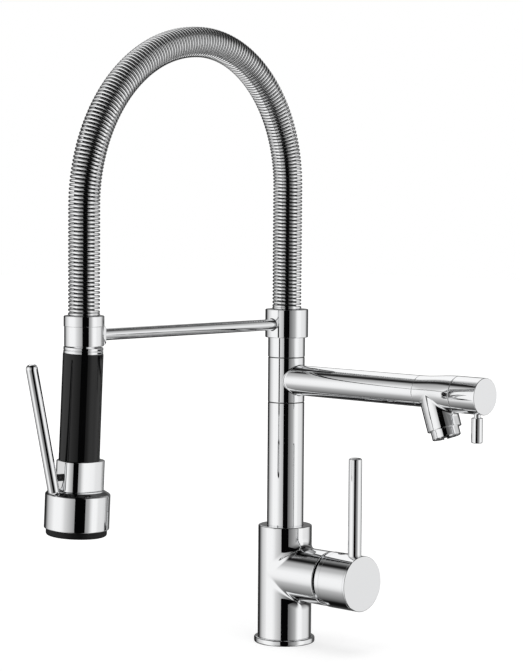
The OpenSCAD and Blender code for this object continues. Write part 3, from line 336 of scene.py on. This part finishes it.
# Wear that every finish uses: soft smudges and fine specks over the surface, in metres
wear = bpy.data.node_groups.new("handling", "ShaderNodeTree")
for label, value in [("Scale", 40.0), ("Low", 0.04), ("High", 0.09), ("Fine", 900.0)]:
    socket = wear.interface.new_socket(label, in_out="INPUT", socket_type="NodeSocketFloat")
    socket.default_value = value
for label in ["Amount", "Smudge", "Grain"]:
    wear.interface.new_socket(label, in_out="OUTPUT", socket_type="NodeSocketFloat")
given = add(wear, "NodeGroupInput")
place = add(wear, "ShaderNodeTexCoord").outputs["Object"]
cloud = add(wear, "ShaderNodeTexNoise", {"Vector": place, "Scale": given.outputs["Scale"], "Detail": 3.0})
dust = add(wear, "ShaderNodeTexNoise", {"Vector": place, "Scale": given.outputs["Fine"], "Detail": 2.0})
level = add(wear, "ShaderNodeMapRange", {"Value": cloud.outputs["Fac"], "From Min": 0.35, "From Max": 0.7,
                                         "To Min": given.outputs["Low"], "To Max": given.outputs["High"]})
ends = add(wear, "NodeGroupOutput", {"Amount": level.outputs[0], "Smudge": cloud.outputs["Fac"],
                                     "Grain": dust.outputs["Fac"]})


def coated(name, colour, tint, metallic, low, high, scale=40.0, fine=900.0, wave=0.0, grain=0.0, **plain):
    """A finish whose colour drifts between two tones with the smudges, with roughness from low to high,
    a long soft wave and a fine grain in the surface. The other values go straight to the shader."""
    made, tree, out = finish(name)
    marks = tree.nodes.new("ShaderNodeGroup")
    marks.node_tree = wear
    for label, value in [("Scale", scale), ("Low", low), ("High", high), ("Fine", fine)]:
        marks.inputs[label].default_value = value
    tone = add(tree, "ShaderNodeMix", {"Factor": marks.outputs["Smudge"], "A": (*colour, 1), "B": (*tint, 1)},
               data_type="RGBA")
    base = add(tree, "ShaderNodeBsdfPrincipled", {"Base Color": tone.outputs[2],
                                                  "Roughness": marks.outputs["Amount"]})
    base.inputs["Metallic"].default_value = metallic
    for label, value in plain.items():
        base.inputs[label.replace("_", " ")].default_value = value
    normal = None
    for depth, mark in [(wave, "Smudge"), (grain, "Grain")]:
        if depth:
            bump = add(tree, "ShaderNodeBump", {"Height": marks.outputs[mark], "Distance": depth * MM,
                                                "Strength": 1.0})
            if normal:
                tree.links.new(normal, bump.inputs["Normal"])
            normal = bump.outputs[0]
    if normal:
        tree.links.new(normal, base.inputs["Normal"])
    tree.links.new(base.outputs[0], out.inputs["Surface"])
    return made


chrome = coated("chrome_plate", (0.87, 0.875, 0.885), (0.90, 0.905, 0.91), 1.0, 0.02, 0.05, scale=22.0,
                fine=1400.0, wave=0.03)
flange_r, flange_bore, flange_top, seat_r, seat = 25.5, 20.2, 5, 22.75, 4.6
base_flange = turned("base_flange", [
    (flange_bore, 0, 0.2), (flange_r, 0, 1.4), (flange_r, flange_top, 1.4), (seat_r, flange_top, 0.15),
    (seat_r, seat), (flange_bore, seat, 0.2)], closed=True, sides=144)
fit(base_flange, "base", chrome, "chrome", "base_ring")

rubber = coated("moulded_rubber", (0.003, 0.003, 0.0032), (0.005, 0.005, 0.0053), 0.0, 0.42, 0.6, scale=120.0,
                fine=2600.0, grain=0.05, Specular_IOR_Level=0.3)
seal = turned("deck_gasket", [(21.6, 0, 0.1), (23.4, 0, 0.1), (23.4, 1.2, 0.4), (21.6, 1.2, 0.4)],
              closed=True, sides=96)
fit(seal, "base", rubber, "seal_rubber", "deck_seal")


# Body
# One brass casting, bored and chromed: an upright barrel with a side branch of the same diameter. The
# crotches are soft fillets that fade out on the front and back, where the two barrels run together.
def graded(count):
    """Places from 0 to 1 that draw closer together towards 1."""
    return 1 - (1 - np.linspace(0, 1, count + 1)) ** 2


def tee(joint, main_axis, side_axis, main_ends, side_end, main_radius, side_radius, soft, keep=0.4,
        around=72, run=14):
    """Two pipes that meet, as three sheets. At each angle a round the pipes a line on the main pipe
    crosses a line on the side pipe. The corner is cut along both lines, by soft at the crotches and by
    part of it on the front and back, and bridged by a parabola."""
    joint, m, b = (np.array(v, float) for v in (joint, main_axis, side_axis))
    cosine = m @ b
    sine = math.sqrt(1 - cosine ** 2)
    face = np.cross(m, b) / sine
    lift = (b - cosine * m) / sine
    flank = (m - cosine * b) / sine
    a = np.linspace(0, math.pi, around + 1)
    # One more line at either seam stays uncut, so that the two sheets and the back meet there
    a = np.concatenate([[0], a, [math.pi]])[:, None]
    depth = soft * (keep + (1 - keep) * np.sin(a))
    depth[[0, -1]] = 0
    ca, sa = np.cos(a)[..., None], np.sin(a)[..., None]

    def on_main(t, towards=1):
        """Points t along the main pipe, on the half towards the side pipe or, with -1, away from it."""
        return joint + m * t[..., None] + main_radius(t)[..., None] * (-face * ca + towards * lift * sa)

    def on_side(s, end):
        """Points s along the side pipe, on the half that faces the main pipe's first or last end."""
        return joint + b * s[..., None] + side_radius(s)[..., None] * (-face * ca + end * flank * sa)

    g = graded(run)[None]
    sheets = []
    for end, reach in [(-1, main_ends[0]), (1, main_ends[1])]:
        t = s = np.zeros_like(a)
        for _ in range(6):
            h, w = main_radius(t) * np.sin(a), side_radius(s) * np.sin(a)
            s = (h + end * w * cosine) / sine
            t = s * cosine + end * w * sine
        ta, sb = t + end * depth, s + depth
        q = np.linspace(0, 1, 13)[None, 1:-1, None]
        corner = (on_main(t) + on_side(s, end)) / 2
        bridge = (1 - q) ** 2 * on_main(ta) + 2 * q * (1 - q) * corner + q ** 2 * on_side(sb, end)
        sheets.append(np.concatenate([on_main(reach + (ta - reach) * g), bridge,
                                      on_side(side_end + (sb - side_end) * g, end)[:, ::-1]], 1))
    back = np.concatenate([main_ends[0] * (1 - g), main_ends[1] * (1 - g[:, ::-1])], 1)
    sheets.append(on_main(np.broadcast_to(back, (len(a), back.shape[1])), -1))
    return sheets


def lying(x, z):
    """Places a profile's axis along +X, at height z, from x on."""
    return shift(x, 0, z) @ spin(90, "Y")


def even(r):
    """The radius of a straight pipe."""
    return lambda t: np.full_like(t, r)


body_r, body_foot, body_top = 22.5, 4.75, 99
branch_z, branch_end, crotch = 59.4, 50.8, 7.5
body_sheets = tee((0, 0, branch_z), (0, 0, 1), (1, 0, 0), (6 - branch_z, 97 - branch_z), branch_end - 1,
                  even(body_r), even(body_r), crotch, keep=0.6)
top_step = [(body_r, 97), (body_r, body_top, 1.1), (15.55, body_top, 0.15), (15.55, 98.5), (0, 98.5)]
foot_step = [(body_r, 6), (body_r, body_foot, 0.35), (0, body_foot)]
branch_mouth = [(body_r, -1), (body_r, 0, 0.9), (17.5, 0, 0.3), (17.5, -7), (0, -7)]
body_sheets += [carried(rounded(top_step), sides=144), carried(rounded(foot_step), sides=144),
                carried(rounded(branch_mouth), lying(branch_end, branch_z), 144)]
cast_chrome = coated("chrome_on_casting", (0.87, 0.875, 0.885), (0.90, 0.905, 0.91), 1.0, 0.02, 0.07,
                     scale=26.0, fine=1400.0, wave=0.06)
body_casting = skin("body_casting", *body_sheets)
fit(body_casting, "base", cast_chrome, "chrome", "tap_body", "side_branch")


# Cartridge
# A 35 mm ceramic cartridge in the branch, clamped by a brass nut, with a sheet-metal dome over it. The
# dome's face is what shows in the groove behind the handle, and its dark colour is painted shade there.
pivot_x, dome_r = 42, 19.5
dome_arc = np.radians(np.linspace(61, 44.5, 16))
dome_line = np.stack([dome_r * np.sin(dome_arc), pivot_x + dome_r * np.cos(dome_arc)], -1)
dome_line = np.concatenate([[(0, 46), (17.35, 46)], dome_line, [(12.6, 55.4), (0, 55.4)]])
# Painted shade: the dome gets a dark metal colour so that the groove behind the handle renders dark.
painted_groove_shade = coated("painted_groove_shade", (0.05, 0.05, 0.052), (0.07, 0.07, 0.072), 1.0, 0.25, 0.4, scale=60.0,
                     fine=1600.0, grain=0.01)
dome_shell = skin("dome_shell", carried(dome_line, lying(0, branch_z), 96))
fit(dome_shell, "base", painted_groove_shade, "chrome", "dome_cover")

brass = coated("machined_brass", (0.62, 0.42, 0.16), (0.70, 0.50, 0.21), 1.0, 0.22, 0.38, scale=60.0,
               fine=1800.0, grain=0.02)
steel = coated("turned_steel", (0.50, 0.50, 0.51), (0.58, 0.58, 0.58), 1.0, 0.2, 0.32, scale=80.0,
               fine=1800.0, grain=0.015)
ceramic = coated("lapped_ceramic", (0.82, 0.80, 0.76), (0.86, 0.85, 0.82), 0.0, 0.1, 0.2, scale=90.0,
                 fine=1500.0, grain=0.005)
white_plastic = coated("white_acetal", (0.78, 0.78, 0.75), (0.84, 0.84, 0.82), 0.0, 0.35, 0.5, scale=70.0,
                       fine=1500.0, grain=0.02)
dark_plastic = coated("dark_acetal", (0.012, 0.012, 0.013), (0.02, 0.02, 0.021), 0.0, 0.3, 0.45, scale=90.0,
                      fine=1900.0, grain=0.02)
dress(white_plastic, "mixer_cartridge", "grip_core")
dress(ceramic, "fixed_disc", "moving_disc", "cartridge_carrier")
dress(brass, "cartridge_nut", "column_nut", "headwork", "headwork_spindle", "hose_union", "hose_ball")
dress(steel, "tilt_pin", "cartridge_post", "handle_grub_screw", "lever_pin")


# Mixer handle
# A turned cap of the body's diameter, hollow behind its rim, with a round rod pressed into its top. A
# dark plug covers the screw that clamps the cap on the cartridge's post.
def bored(piece, *cutters):
    """Takes solid cutters out of a piece and removes them."""
    for cutter in cutters:
        cut = piece.modifiers.new("bore", "BOOLEAN")
        cut.operation, cut.solver, cut.object = "DIFFERENCE", "EXACT", cutter
    graph = bpy.context.evaluated_depsgraph_get()
    mesh = bpy.data.meshes.new_from_object(piece.evaluated_get(graph))
    piece.modifiers.clear()
    piece.data = mesh
    for cutter in cutters:
        bpy.data.objects.remove(cutter)
    mesh.shade_smooth()
    mesh.set_sharp_from_angle(angle=math.radians(32))
    return piece


def groove(r, z, width=0.22, depth=0.16):
    """The corners of a fine turned line in an outer wall."""
    return [(r, z - width / 2), (r - depth, z), (r, z + width / 2)]


# The cap tilts outwards by up to 12 degrees, so its rim is cut back underneath to keep off the branch:
# the relief is whole at the rim and fades out further along the cap.
cap_r, cap_end = 22.8, 86.3
rim_x, clear_x, relief_end, tilt = 53.3, 51.5, 57.5, math.radians(12)
cap_line = [(0, 62.1), (20.2, 62.1, 0.4), (20.2, rim_x, 0.25), (cap_r, rim_x, 0.9)]
cap_line += groove(cap_r, 58.0) + groove(cap_r, 84.2) + [(cap_r, cap_end, 0.6), (0, cap_end)]
cap_grid = carried(rounded(cap_line), lying(0, branch_z), 144)
needed = clear_x + math.tan(tilt) * np.clip(branch_z - cap_grid[..., 2], 0, None)
fade = np.clip((relief_end - cap_grid[..., 0]) / (relief_end - rim_x - 0.9), 0, 1)
cap_grid[..., 0] += fade * np.clip(needed - rim_x, 0, None)
plug_x, plug_r, plug_foot = 65.6, 4.55, branch_z + cap_r - 2.2
plug_hole = turned("plug_hole", [(0, plug_foot), (plug_r, plug_foot), (plug_r, 90), (0, 90)],
                   shift(plug_x, 0, 0), 64)
handle_cap = bored(skin("handle_cap_shell", cap_grid), plug_hole)
fit(handle_cap, "mixer_handle", chrome, "chrome", "handle_cap")
rod_x, rod_r, rod_top = 77.5, 5.5, 161.8
handle_rod = turned("handle_rod", [(0, 76), (rod_r, 76), (rod_r, rod_top, 1.8), (0, rod_top)],
                    shift(rod_x, 0, 0), 72)
fit(handle_rod, "mixer_handle", chrome, "chrome", "handle_lever")
dress(dark_plastic, "index_plug")


# Column
# A drawn brass tube, chromed, pressed into the body. Its turned-down upper end is the journal for the
# swivel ring and the collar, which run on thin dark glide rings.
riser_r, riser_top, journal_r = 15.3, 202.1, 11
riser = turned("riser_pipe", [(0, 98.5), (riser_r, 98.5), (riser_r, riser_top, 0.3), (journal_r, riser_top),
                              (journal_r, 264.5, 0.2), (0, 264.5)])
fit(riser, "base", chrome, "chrome", "riser_tube")
dress(dark_plastic, "glide_ring", "upper_glide_ring")
dress(rubber, "journal_seals", "union_seal")


# Side spout
# A turned ring on the journal, with a thick brass tube brazed into it, both chromed. The braze leaves a
# small fillet.
bearing_r, swivel_foot, swivel_top = 11.1, 202.7, 239.7
swivel = turned("swivel_barrel", [(bearing_r, swivel_foot), (riser_r, swivel_foot, 0.3),
                                  (riser_r, swivel_top, 0.3), (bearing_r, swivel_top)], closed=True)
fit(swivel, "side_spout", chrome, "chrome", "swivel_ring")


def rooted(host_r, r, z, end, braze, tip, around=96):
    """A pipe along +X that grows out of an upright barrel. Each line of the pipe runs back to the
    barrel's wall, where a parabola turns it onto the wall over the length of the braze."""
    a = np.linspace(0, 2 * math.pi, around + 1)[:, None]

    def on_wall(radius):
        """The line where a pipe of this radius along +X would meet the barrel's wall."""
        y, h = radius * np.cos(a), radius * np.sin(a)
        return np.concatenate([np.sqrt(host_r ** 2 - y ** 2), y, z + h], 1)

    corner = on_wall(r)
    start = corner + [braze, 0, 0]
    skirt = on_wall(r + braze)
    q = np.linspace(0, 1, 9)[:, None, None]
    bridge = (1 - q) ** 2 * skirt + 2 * q * (1 - q) * corner + q ** 2 * start
    wall = start + (end - 1 - start[..., :1]) * np.linspace(0, 1, 16)[1:, None, None] ** 2 * [1, 0, 0]
    # The root closes to a point inside the barrel, out of sight
    inside = np.stack([np.broadcast_to([4.0, 0, z], skirt.shape), skirt - [1.5, 0, 0]])
    cap = carried(rounded([(r, end - 1), (r, end, tip), (0, end)]), lying(0, z), around)
    return [np.concatenate([inside, bridge, wall]), cap]


spout_z, spout_r, spout_end = 221.2, 12.5, 145.5
spout_pipe = skin("spout_pipe", *rooted(riser_r, spout_r, spout_z, spout_end, 1.0, 0.25))
fit(spout_pipe, "side_spout", chrome, "chrome", "spout_tube")

# The valve body: a brass casting that flares towards its knob, with a short nozzle that leans outwards
nozzle_x, lean, nozzle_len, knob_r, knob_x = 159.9, 19.3, 29.9, 14.5, 183.7
nozzle_axis = np.array([math.sin(math.radians(lean)), 0, -math.cos(math.radians(lean))])
nozzle_place = shift(nozzle_x, 0, spout_z) @ spin(180 - lean, "Y")
flare_from, flare_to = spout_end - nozzle_x, knob_x - nozzle_x


def flare(t):
    """The valve body's radius: half a cosine wave from the tube's radius to the knob's."""
    middle = (spout_r + knob_r) / 2
    return middle - (knob_r - middle) * np.cos(math.pi * (t - flare_from) / (flare_to - flare_from))


nozzle_r = 13.7


def draft(s):
    """The nozzle's radius: from the body's own radius at the root it eases to its full size over 10 mm."""
    q = np.clip(s / 10, 0, 1)
    root = flare(0.0)
    return root + (nozzle_r - root) * q * q * (3 - 2 * q)


valve_sheets = tee((nozzle_x, 0, spout_z), (1, 0, 0), nozzle_axis, (flare_from + 1, flare_to - 1),
                   nozzle_len - 1, flare, draft, 3.2)
back_end = [(flare(flare_from + 1), spout_end + 1), (spout_r, spout_end, 0.3), (0, spout_end)]
knob_end = [(flare(flare_to - 1), knob_x - 1), (knob_r, knob_x, 0.3), (0, knob_x)]
mouth = [(nozzle_r, nozzle_len - 1), (nozzle_r, nozzle_len, 0.5), (10.6, nozzle_len, 0.2), (10.6, 24),
         (0, 24)]
valve_sheets += [carried(rounded(back_end), lying(0, spout_z), 144),
                 carried(rounded(knob_end), lying(0, spout_z), 144),
                 carried(rounded(mouth), nozzle_place, 144)]
valve = skin("valve_casting", *valve_sheets)
fit(valve, "side_spout", cast_chrome, "chrome", "valve_body")
dress(chrome, "aerator_shell")
dress(dark_plastic, "aerator_screen")

# The knob with its small rod, turned brass, screwed on the quarter-turn headwork
knob = turned("knob_shell", [(0, 184), (knob_r, 184, 0.3), (knob_r, 209.4, 0.5), (0, 209.4)],
              lying(0, spout_z))
fit(knob, "filler", chrome, "chrome", "filler_knob")
knob_rod = turned("knob_rod", [(0, 184.6), (4.5, 184.6, 1.1), (4.5, 204.3, 0.6), (2.6, 204.3, 0.2),
                               (2.6, 209), (0, 209)], shift(201.7, 0, 0), 64)
fit(knob_rod, "filler", chrome, "chrome", "filler_rod")


# Collar and arm
# A turned sleeve and a square-edged collar turn on the journal. The collar holds the arm's end in a
# bored hole and the hose's end in its top, and the spring stands on it.
collar_r, collar_foot, collar_top = 17.9, 256.5, 279.9
sleeve = turned("collar_sleeve", [(bearing_r, 240.3), (15.4, 240.3, 0.25), (15.4, collar_foot, 0.1),
                                  (bearing_r, collar_foot)], closed=True)
fit(sleeve, "arch", chrome, "chrome", "upper_sleeve")
arm_z, arm_r = 267.5, 4.6
arm_hole = turned("arm_hole", [(0, 12), (4.95, 12), (4.95, 17.2), (5.75, 18.7), (0, 18.7)],
                  shift(0, 0, arm_z) @ spin(90, "X"), 64)
collar_line = [(bearing_r, collar_foot), (collar_r, collar_foot, 0.6), (collar_r, collar_top, 0.6),
               (8.2, collar_top, 0.2), (8.2, collar_top - 4), (bearing_r, collar_top - 4)]
collar = bored(turned("collar_shell", collar_line, closed=True), arm_hole)
fit(collar, "arch", chrome, "chrome", "holder_collar")
arm = turned("arm_rod", [(0, 14.3), (arm_r, 14.3, 0.3), (arm_r, 213.2, 0.3), (0, 213.2)],
             shift(0, 0, arm_z) @ spin(90, "X"), 64)
fit(arm, "arch", chrome, "chrome", "holder_arm")


# Arch: hose and spring
# A black rubber hose runs inside a close-wound chromed spring, whose last turn at each end lies flat.
# Both follow one centre line: a straight leg, two quarter ellipses over the crown, and the other straight
# leg down to the ferrule.
arm_reach, crown_y, crown_z = 226.0, 102.6, 495.5
leg_foot, leg_top = collar_top, 381.7
drop_top, drop_foot = 365.8, 282.8
q = np.radians(np.linspace(0, 90, 400))
centre = np.concatenate([
    [[0, leg_foot]],
    np.stack([-crown_y * (1 - np.cos(q)), leg_top + (crown_z - leg_top) * np.sin(q)], -1),
    np.stack([-crown_y - (arm_reach - crown_y) * np.cos(q[::-1]),
              drop_top + (crown_z - drop_top) * np.sin(q[::-1])], -1)[1:],
    [[-arm_reach, drop_foot]]])
steps_along = np.linalg.norm(np.diff(centre, axis=0), axis=1)
along = np.concatenate([[0], np.cumsum(steps_along)])
arch_len = along[-1]


def on_arch(s):
    """The point of the centre line at length s, and the outward side of the bend there."""
    def spot(v):
        """The point at length v, read off between the centre line's own points."""
        return np.stack([np.zeros_like(v), np.interp(v, along, centre[:, 0]),
                         np.interp(v, along, centre[:, 1])], -1)
    ahead = spot(np.clip(s + 1.5, 0, arch_len)) - spot(np.clip(s - 1.5, 0, arch_len))
    ahead /= np.linalg.norm(ahead, axis=-1, keepdims=True)
    return spot(s), np.cross([1.0, 0, 0], ahead)


def tube(path, side, r, sides):
    """The grid of a round tube: at each point of the path a ring stands square to the path, started
    from the side vector, so that it doesn't twist."""
    ahead = np.gradient(path, axis=0)
    ahead /= np.linalg.norm(ahead, axis=1, keepdims=True)
    side = side - (side * ahead).sum(1, keepdims=True) * ahead
    side /= np.linalg.norm(side, axis=1, keepdims=True)
    other = np.cross(ahead, side)
    a = np.linspace(0, 2 * math.pi, sides + 1)[None, :, None]
    grid = path[:, None] + r * (np.cos(a) * side[:, None] + np.sin(a) * other[:, None])
    tips = [np.broadcast_to(path[k], (1, sides + 1, 3)) for k in (0, -1)]
    return np.concatenate([tips[0], grid, tips[1]])


guide_len, hose_r = 84.5, 8.0
spots, outs = on_arch(np.linspace(0, arch_len - guide_len, 220))
hose = skin("arch_inner_hose", tube(spots, outs, hose_r, 32), crease=50)
hose_rubber = coated("hose_rubber", (0.008, 0.008, 0.008), (0.014, 0.014, 0.014), 0.0, 0.5, 0.7, scale=90.0,
                     fine=2200.0, grain=0.06)
fit(hose, "arch", hose_rubber, "hose_rubber", "arch_hose")
dress(hose_rubber, "guide_tube")

turns, per_turn, wire_r, coil_r = 188, 26, 1.1, 11.1
climb = np.linspace(wire_r, arch_len - wire_r, turns * per_turn + 1)
climb = np.pad(climb, per_turn, mode="edge")  # a flat turn at either end
spots, outs = on_arch(climb)
wind = 2 * math.pi * np.arange(len(climb))[:, None] / per_turn + math.pi
radial = np.cos(wind) * outs - np.sin(wind) * np.array([1.0, 0, 0])
spring = skin("arch_coil", tube(spots + coil_r * radial, radial, wire_r, 10), crease=60)
# Painted highlight: the coil gets a brighter copy of the chrome, so that its turns render lighter than the
# rest of the plating.
brightened_spring_chrome = coated("spring_chrome_painted_bright", (0.93, 0.935, 0.94), (0.96, 0.963, 0.966), 1.0, 0.02, 0.05,
                       scale=50.0, fine=1600.0, grain=0.004)
fit(spring, "arch", brightened_spring_chrome, "spring_steel", "arch_spring")


# Docking sleeve and ferrule
# The arm ends in a sleeve that the spray hangs in, with a lug that takes the arm. A ferrule above it
# holds the spring's lower end and the guide tube of the sliding hose.
def slab(outline, low, high, edge, place=None, steps=4):
    """A block from a closed outline carried straight from low to high. Towards both ends the outline
    draws in along a quarter circle, which rounds the edges."""
    middle = (outline.min(0) + outline.max(0)) / 2
    half = (outline.max(0) - outline.min(0)) / 2
    q = np.linspace(0, math.pi / 2, steps + 1)
    inset = np.concatenate([edge * (1 - np.sin(q)), [0, 0], edge * (1 - np.cos(q))])
    level = np.concatenate([low + edge * (1 - np.cos(q)), [low + edge + 0.3, high - edge - 0.3],
                            high - edge * (1 - np.sin(q))])
    scale = (half - inset[:, None]) / half
    flat = middle + (outline - middle)[None] * scale[:, None]
    grid = np.concatenate([np.broadcast_to(level[:, None, None], (*flat.shape[:2], 1)), flat], -1)
    ends = [np.broadcast_to([level[k], *middle], (1, grid.shape[1], 3)) for k in (0, -1)]
    grid = np.concatenate([ends[0], grid, ends[1]])
    return grid if place is None else placed(grid, place)


dock_place, dock_foot, dock_top = shift(0, -arm_reach, 0), 259.6, 274.7
dock = turned("dock_sleeve", [(10.2, dock_foot, 0.3), (15.1, dock_foot, 0.5), (15.1, dock_top, 0.15),
                              (10.2, dock_top)], dock_place, closed=True)
fit(dock, "arch", chrome, "chrome", "docking_sleeve")
lug_near, lug_far, lug_half = 12.5 - arm_reach, 18.6 - arm_reach, 5
lug_outline = rounded([(lug_near, 260.0), (lug_far, 260.0, 1.8), (lug_far, 274.3, 1.8), (lug_near, 274.3)],
                      closed=True)
fit(skin("dock_lug", slab(lug_outline, -lug_half, lug_half, 0.5)), "arch", chrome, "chrome")
ferrule = turned("spring_ferrule_shell", [(8.2, dock_top), (15.5, dock_top, 0.3), (15.5, drop_foot, 0.7),
                                          (8.2, drop_foot, 0.2)], dock_place, closed=True)
fit(ferrule, "arch", chrome, "chrome", "spring_ferrule")
pull_r, pull_foot, pull_top = 6.3, 276, 361.8
pull_line = turned("pull_hose_line", [(0, pull_foot), (pull_r, pull_foot, 0.3), (pull_r, pull_top, 0.3),
                                      (0, pull_top)], dock_place, 48)
fit(pull_line, "pull_hose", hose_rubber, "hose_rubber", "sliding_hose")


# Hand spray: neck and grip
# Two turned neck rings with a dark groove between them hold the hose's ball end. The grip is a moulded
# tube of glossy black plastic, clamped between the rings and the spray's body.

# The spray leans by 2.4 degrees in its dock. All its heights count from the hose's ball.
foot_turn, foot_lean, ball_z = math.radians(199), math.radians(2.4), 269.6
lean_axis = Vector((math.sin(foot_turn), -math.cos(foot_turn), 0))
spray_place = shift(0, -arm_reach, ball_z) @ Matrix.Rotation(foot_lean, 4, lean_axis)
lever_place = spray_place @ spin(264.4, "Z")
neck_r, neck_foot, grip_top, grip_foot, bell_top, rim_top = 15.2, -13.3, -15.5, -97.4, -120.6, -150
neck = turned("neck_nut_shell", [(5, neck_foot), (14.5, neck_foot), (14.5, -12.9, 0.1), (neck_r, -12.8, 0.3),
                                 (neck_r, -10.7, 0.4), (9.3, -10.7), (9.3, 4.6, 0.3), (6.9, 4.6), (6.9, 3.4),
                                 (7.7, 3.4), (7.7, -7.7), (5, -7.7)], spray_place, 96, closed=True)
fit(neck, "spray", chrome, "chrome", "neck_nut")
neck_band = turned("neck_band", [(5, grip_top), (neck_r, grip_top, 0.3), (neck_r, neck_foot, 0.4),
                                 (5, neck_foot)], spray_place, 96, closed=True)
fit(neck_band, "spray", chrome, "chrome", "neck_ring")
gloss_black = coated("gloss_black_plastic", (0.002, 0.002, 0.0022), (0.003, 0.003, 0.0033), 0.0, 0.05, 0.09,
                     scale=30.0, fine=1500.0, wave=0.03, grain=0.002, Specular_IOR_Level=0.36)
grip = turned("grip_shell", [(8, grip_foot), (15.7, grip_foot, 0.4), (15.5, grip_top, 0.5), (8, grip_top)],
              spray_place, 96, closed=True)
fit(grip, "spray", gloss_black, "grip_black", "spray_grip")


# Hand spray: body, bell and rim
# A chromed body with a flat that the dark valve button comes out of, a domed plug on its far side, and
# a bell that carries the spray face inside a rubber rim.

# Both matrices place a slab: on_end carries its outline upwards, sideways stands it in the rod's plane
on_end = Matrix(((0, 1, 0, 0), (0, 0, 1, 0), (1, 0, 0, 0), (0, 0, 0, 1)))
sideways = Matrix(((0, 1, 0, 0), (1, 0, 0, 0), (0, 0, 1, 0), (0, 0, 0, 1)))
# The body's outline is a superellipse, set back from the rod and cut straight at the button's flat
a = np.radians(np.linspace(0, 360, 241))
power, deep, broad, set_back, flat_x = 2.7, 18.43, 14.4, 1.48, 16.6
reach = (np.abs(np.cos(a) / deep) ** power + np.abs(np.sin(a) / broad) ** power) ** (-1 / power)
barrel_line = np.stack([np.minimum(reach * np.cos(a) - set_back, flat_x), reach * np.sin(a)], -1)
spray_barrel = skin("spray_barrel", slab(barrel_line, bell_top, grip_foot, 0.6, lever_place @ on_end,
                                         steps=10), crease=12)
fit(spray_barrel, "spray", chrome, "chrome", "spray_body")
dress(dark_plastic, "valve_button")
dress(steel, "return_spring")
button_z = bell_top + 10.7
dome = np.radians(np.linspace(0, 90, 10))
plug_line = np.concatenate([[(0, 18.0), (4.0, 18.0), (4.0, 20.2)],
                            np.stack([2.2 + 1.8 * np.cos(dome), 20.6 + 1.8 * np.sin(dome)], -1), [(0, 22.4)]])
plug_place = lever_place @ shift(0, 0, button_z) @ spin(-90, "Y")
fit(skin("valve_plug_head", carried(plug_line, plug_place, 48)), "spray", chrome, "chrome", "valve_plug")
bell_r, shoulder_r, face_r = 25, 20.5, 21.1
bell_line = [(0, bell_top), (shoulder_r, bell_top, 0.3), (24.2, bell_top - 2, 1.2),
             (bell_r, bell_top - 3, 0.9), (bell_r, rim_top, 0.8), (face_r, rim_top, 0.2),
             (face_r, rim_top + 3), (0, rim_top + 3)]
pocket_line = rounded([(16.9, -130.4), (24.0, -130.4), (24.0, -118), (16.9, -118)], closed=True)
pocket = skin("pocket", slab(pocket_line, -2.8, 2.8, 0.05, lever_place @ sideways))
bell = bored(turned("bell_shell", bell_line, spray_place, 144), pocket)
fit(bell, "spray", chrome, "chrome", "spray_bell")
dress(dark_plastic, "spray_face")
rim_foot = rim_top - 5.2
rim = turned("rim_bumper", [(17.4, rim_top), (17.4, rim_foot, 0.5), (23.4, rim_foot, 1.6),
                            (23.4, rim_top, 0.1)], spray_place, 120, closed=True)
fit(rim, "spray", rubber, "rim_rubber", "rubber_rim")


# Squeeze rod
# A chromed rod hinged in the bell's shoulder by a flat tongue. Pressed towards the grip, it pushes the
# button in and opens the spray.
press_place = lever_place @ shift(22.5, 0, bell_top) @ spin(14.5, "Y")
press_r, press_len = 4.5, 101
rod = turned("squeeze_rod", [(0, 0.2), (press_r, 0.2, 0.3), (press_r, press_len, 3.2), (0, press_len)],
             press_place, 72)
fit(rod, "trigger", chrome, "chrome", "spray_lever")
pin_x, pin_z, eye_r = 20.9, -127.2, 2.8
eye = np.radians(np.linspace(180, 360, 19))
tongue_line = np.stack([pin_x + eye_r * np.cos(eye), pin_z + eye_r * np.sin(eye)], -1)
tongue_top = [(pin_x + eye_r, -118.2), (pin_x - eye_r, -118.2)]
tongue_line = np.concatenate([tongue_line, tongue_top, tongue_line[:1]])
fit(skin("squeeze_tongue", slab(tongue_line, -2.5, 2.5, 0.2, lever_place @ sideways)), "trigger", chrome,
    "chrome")
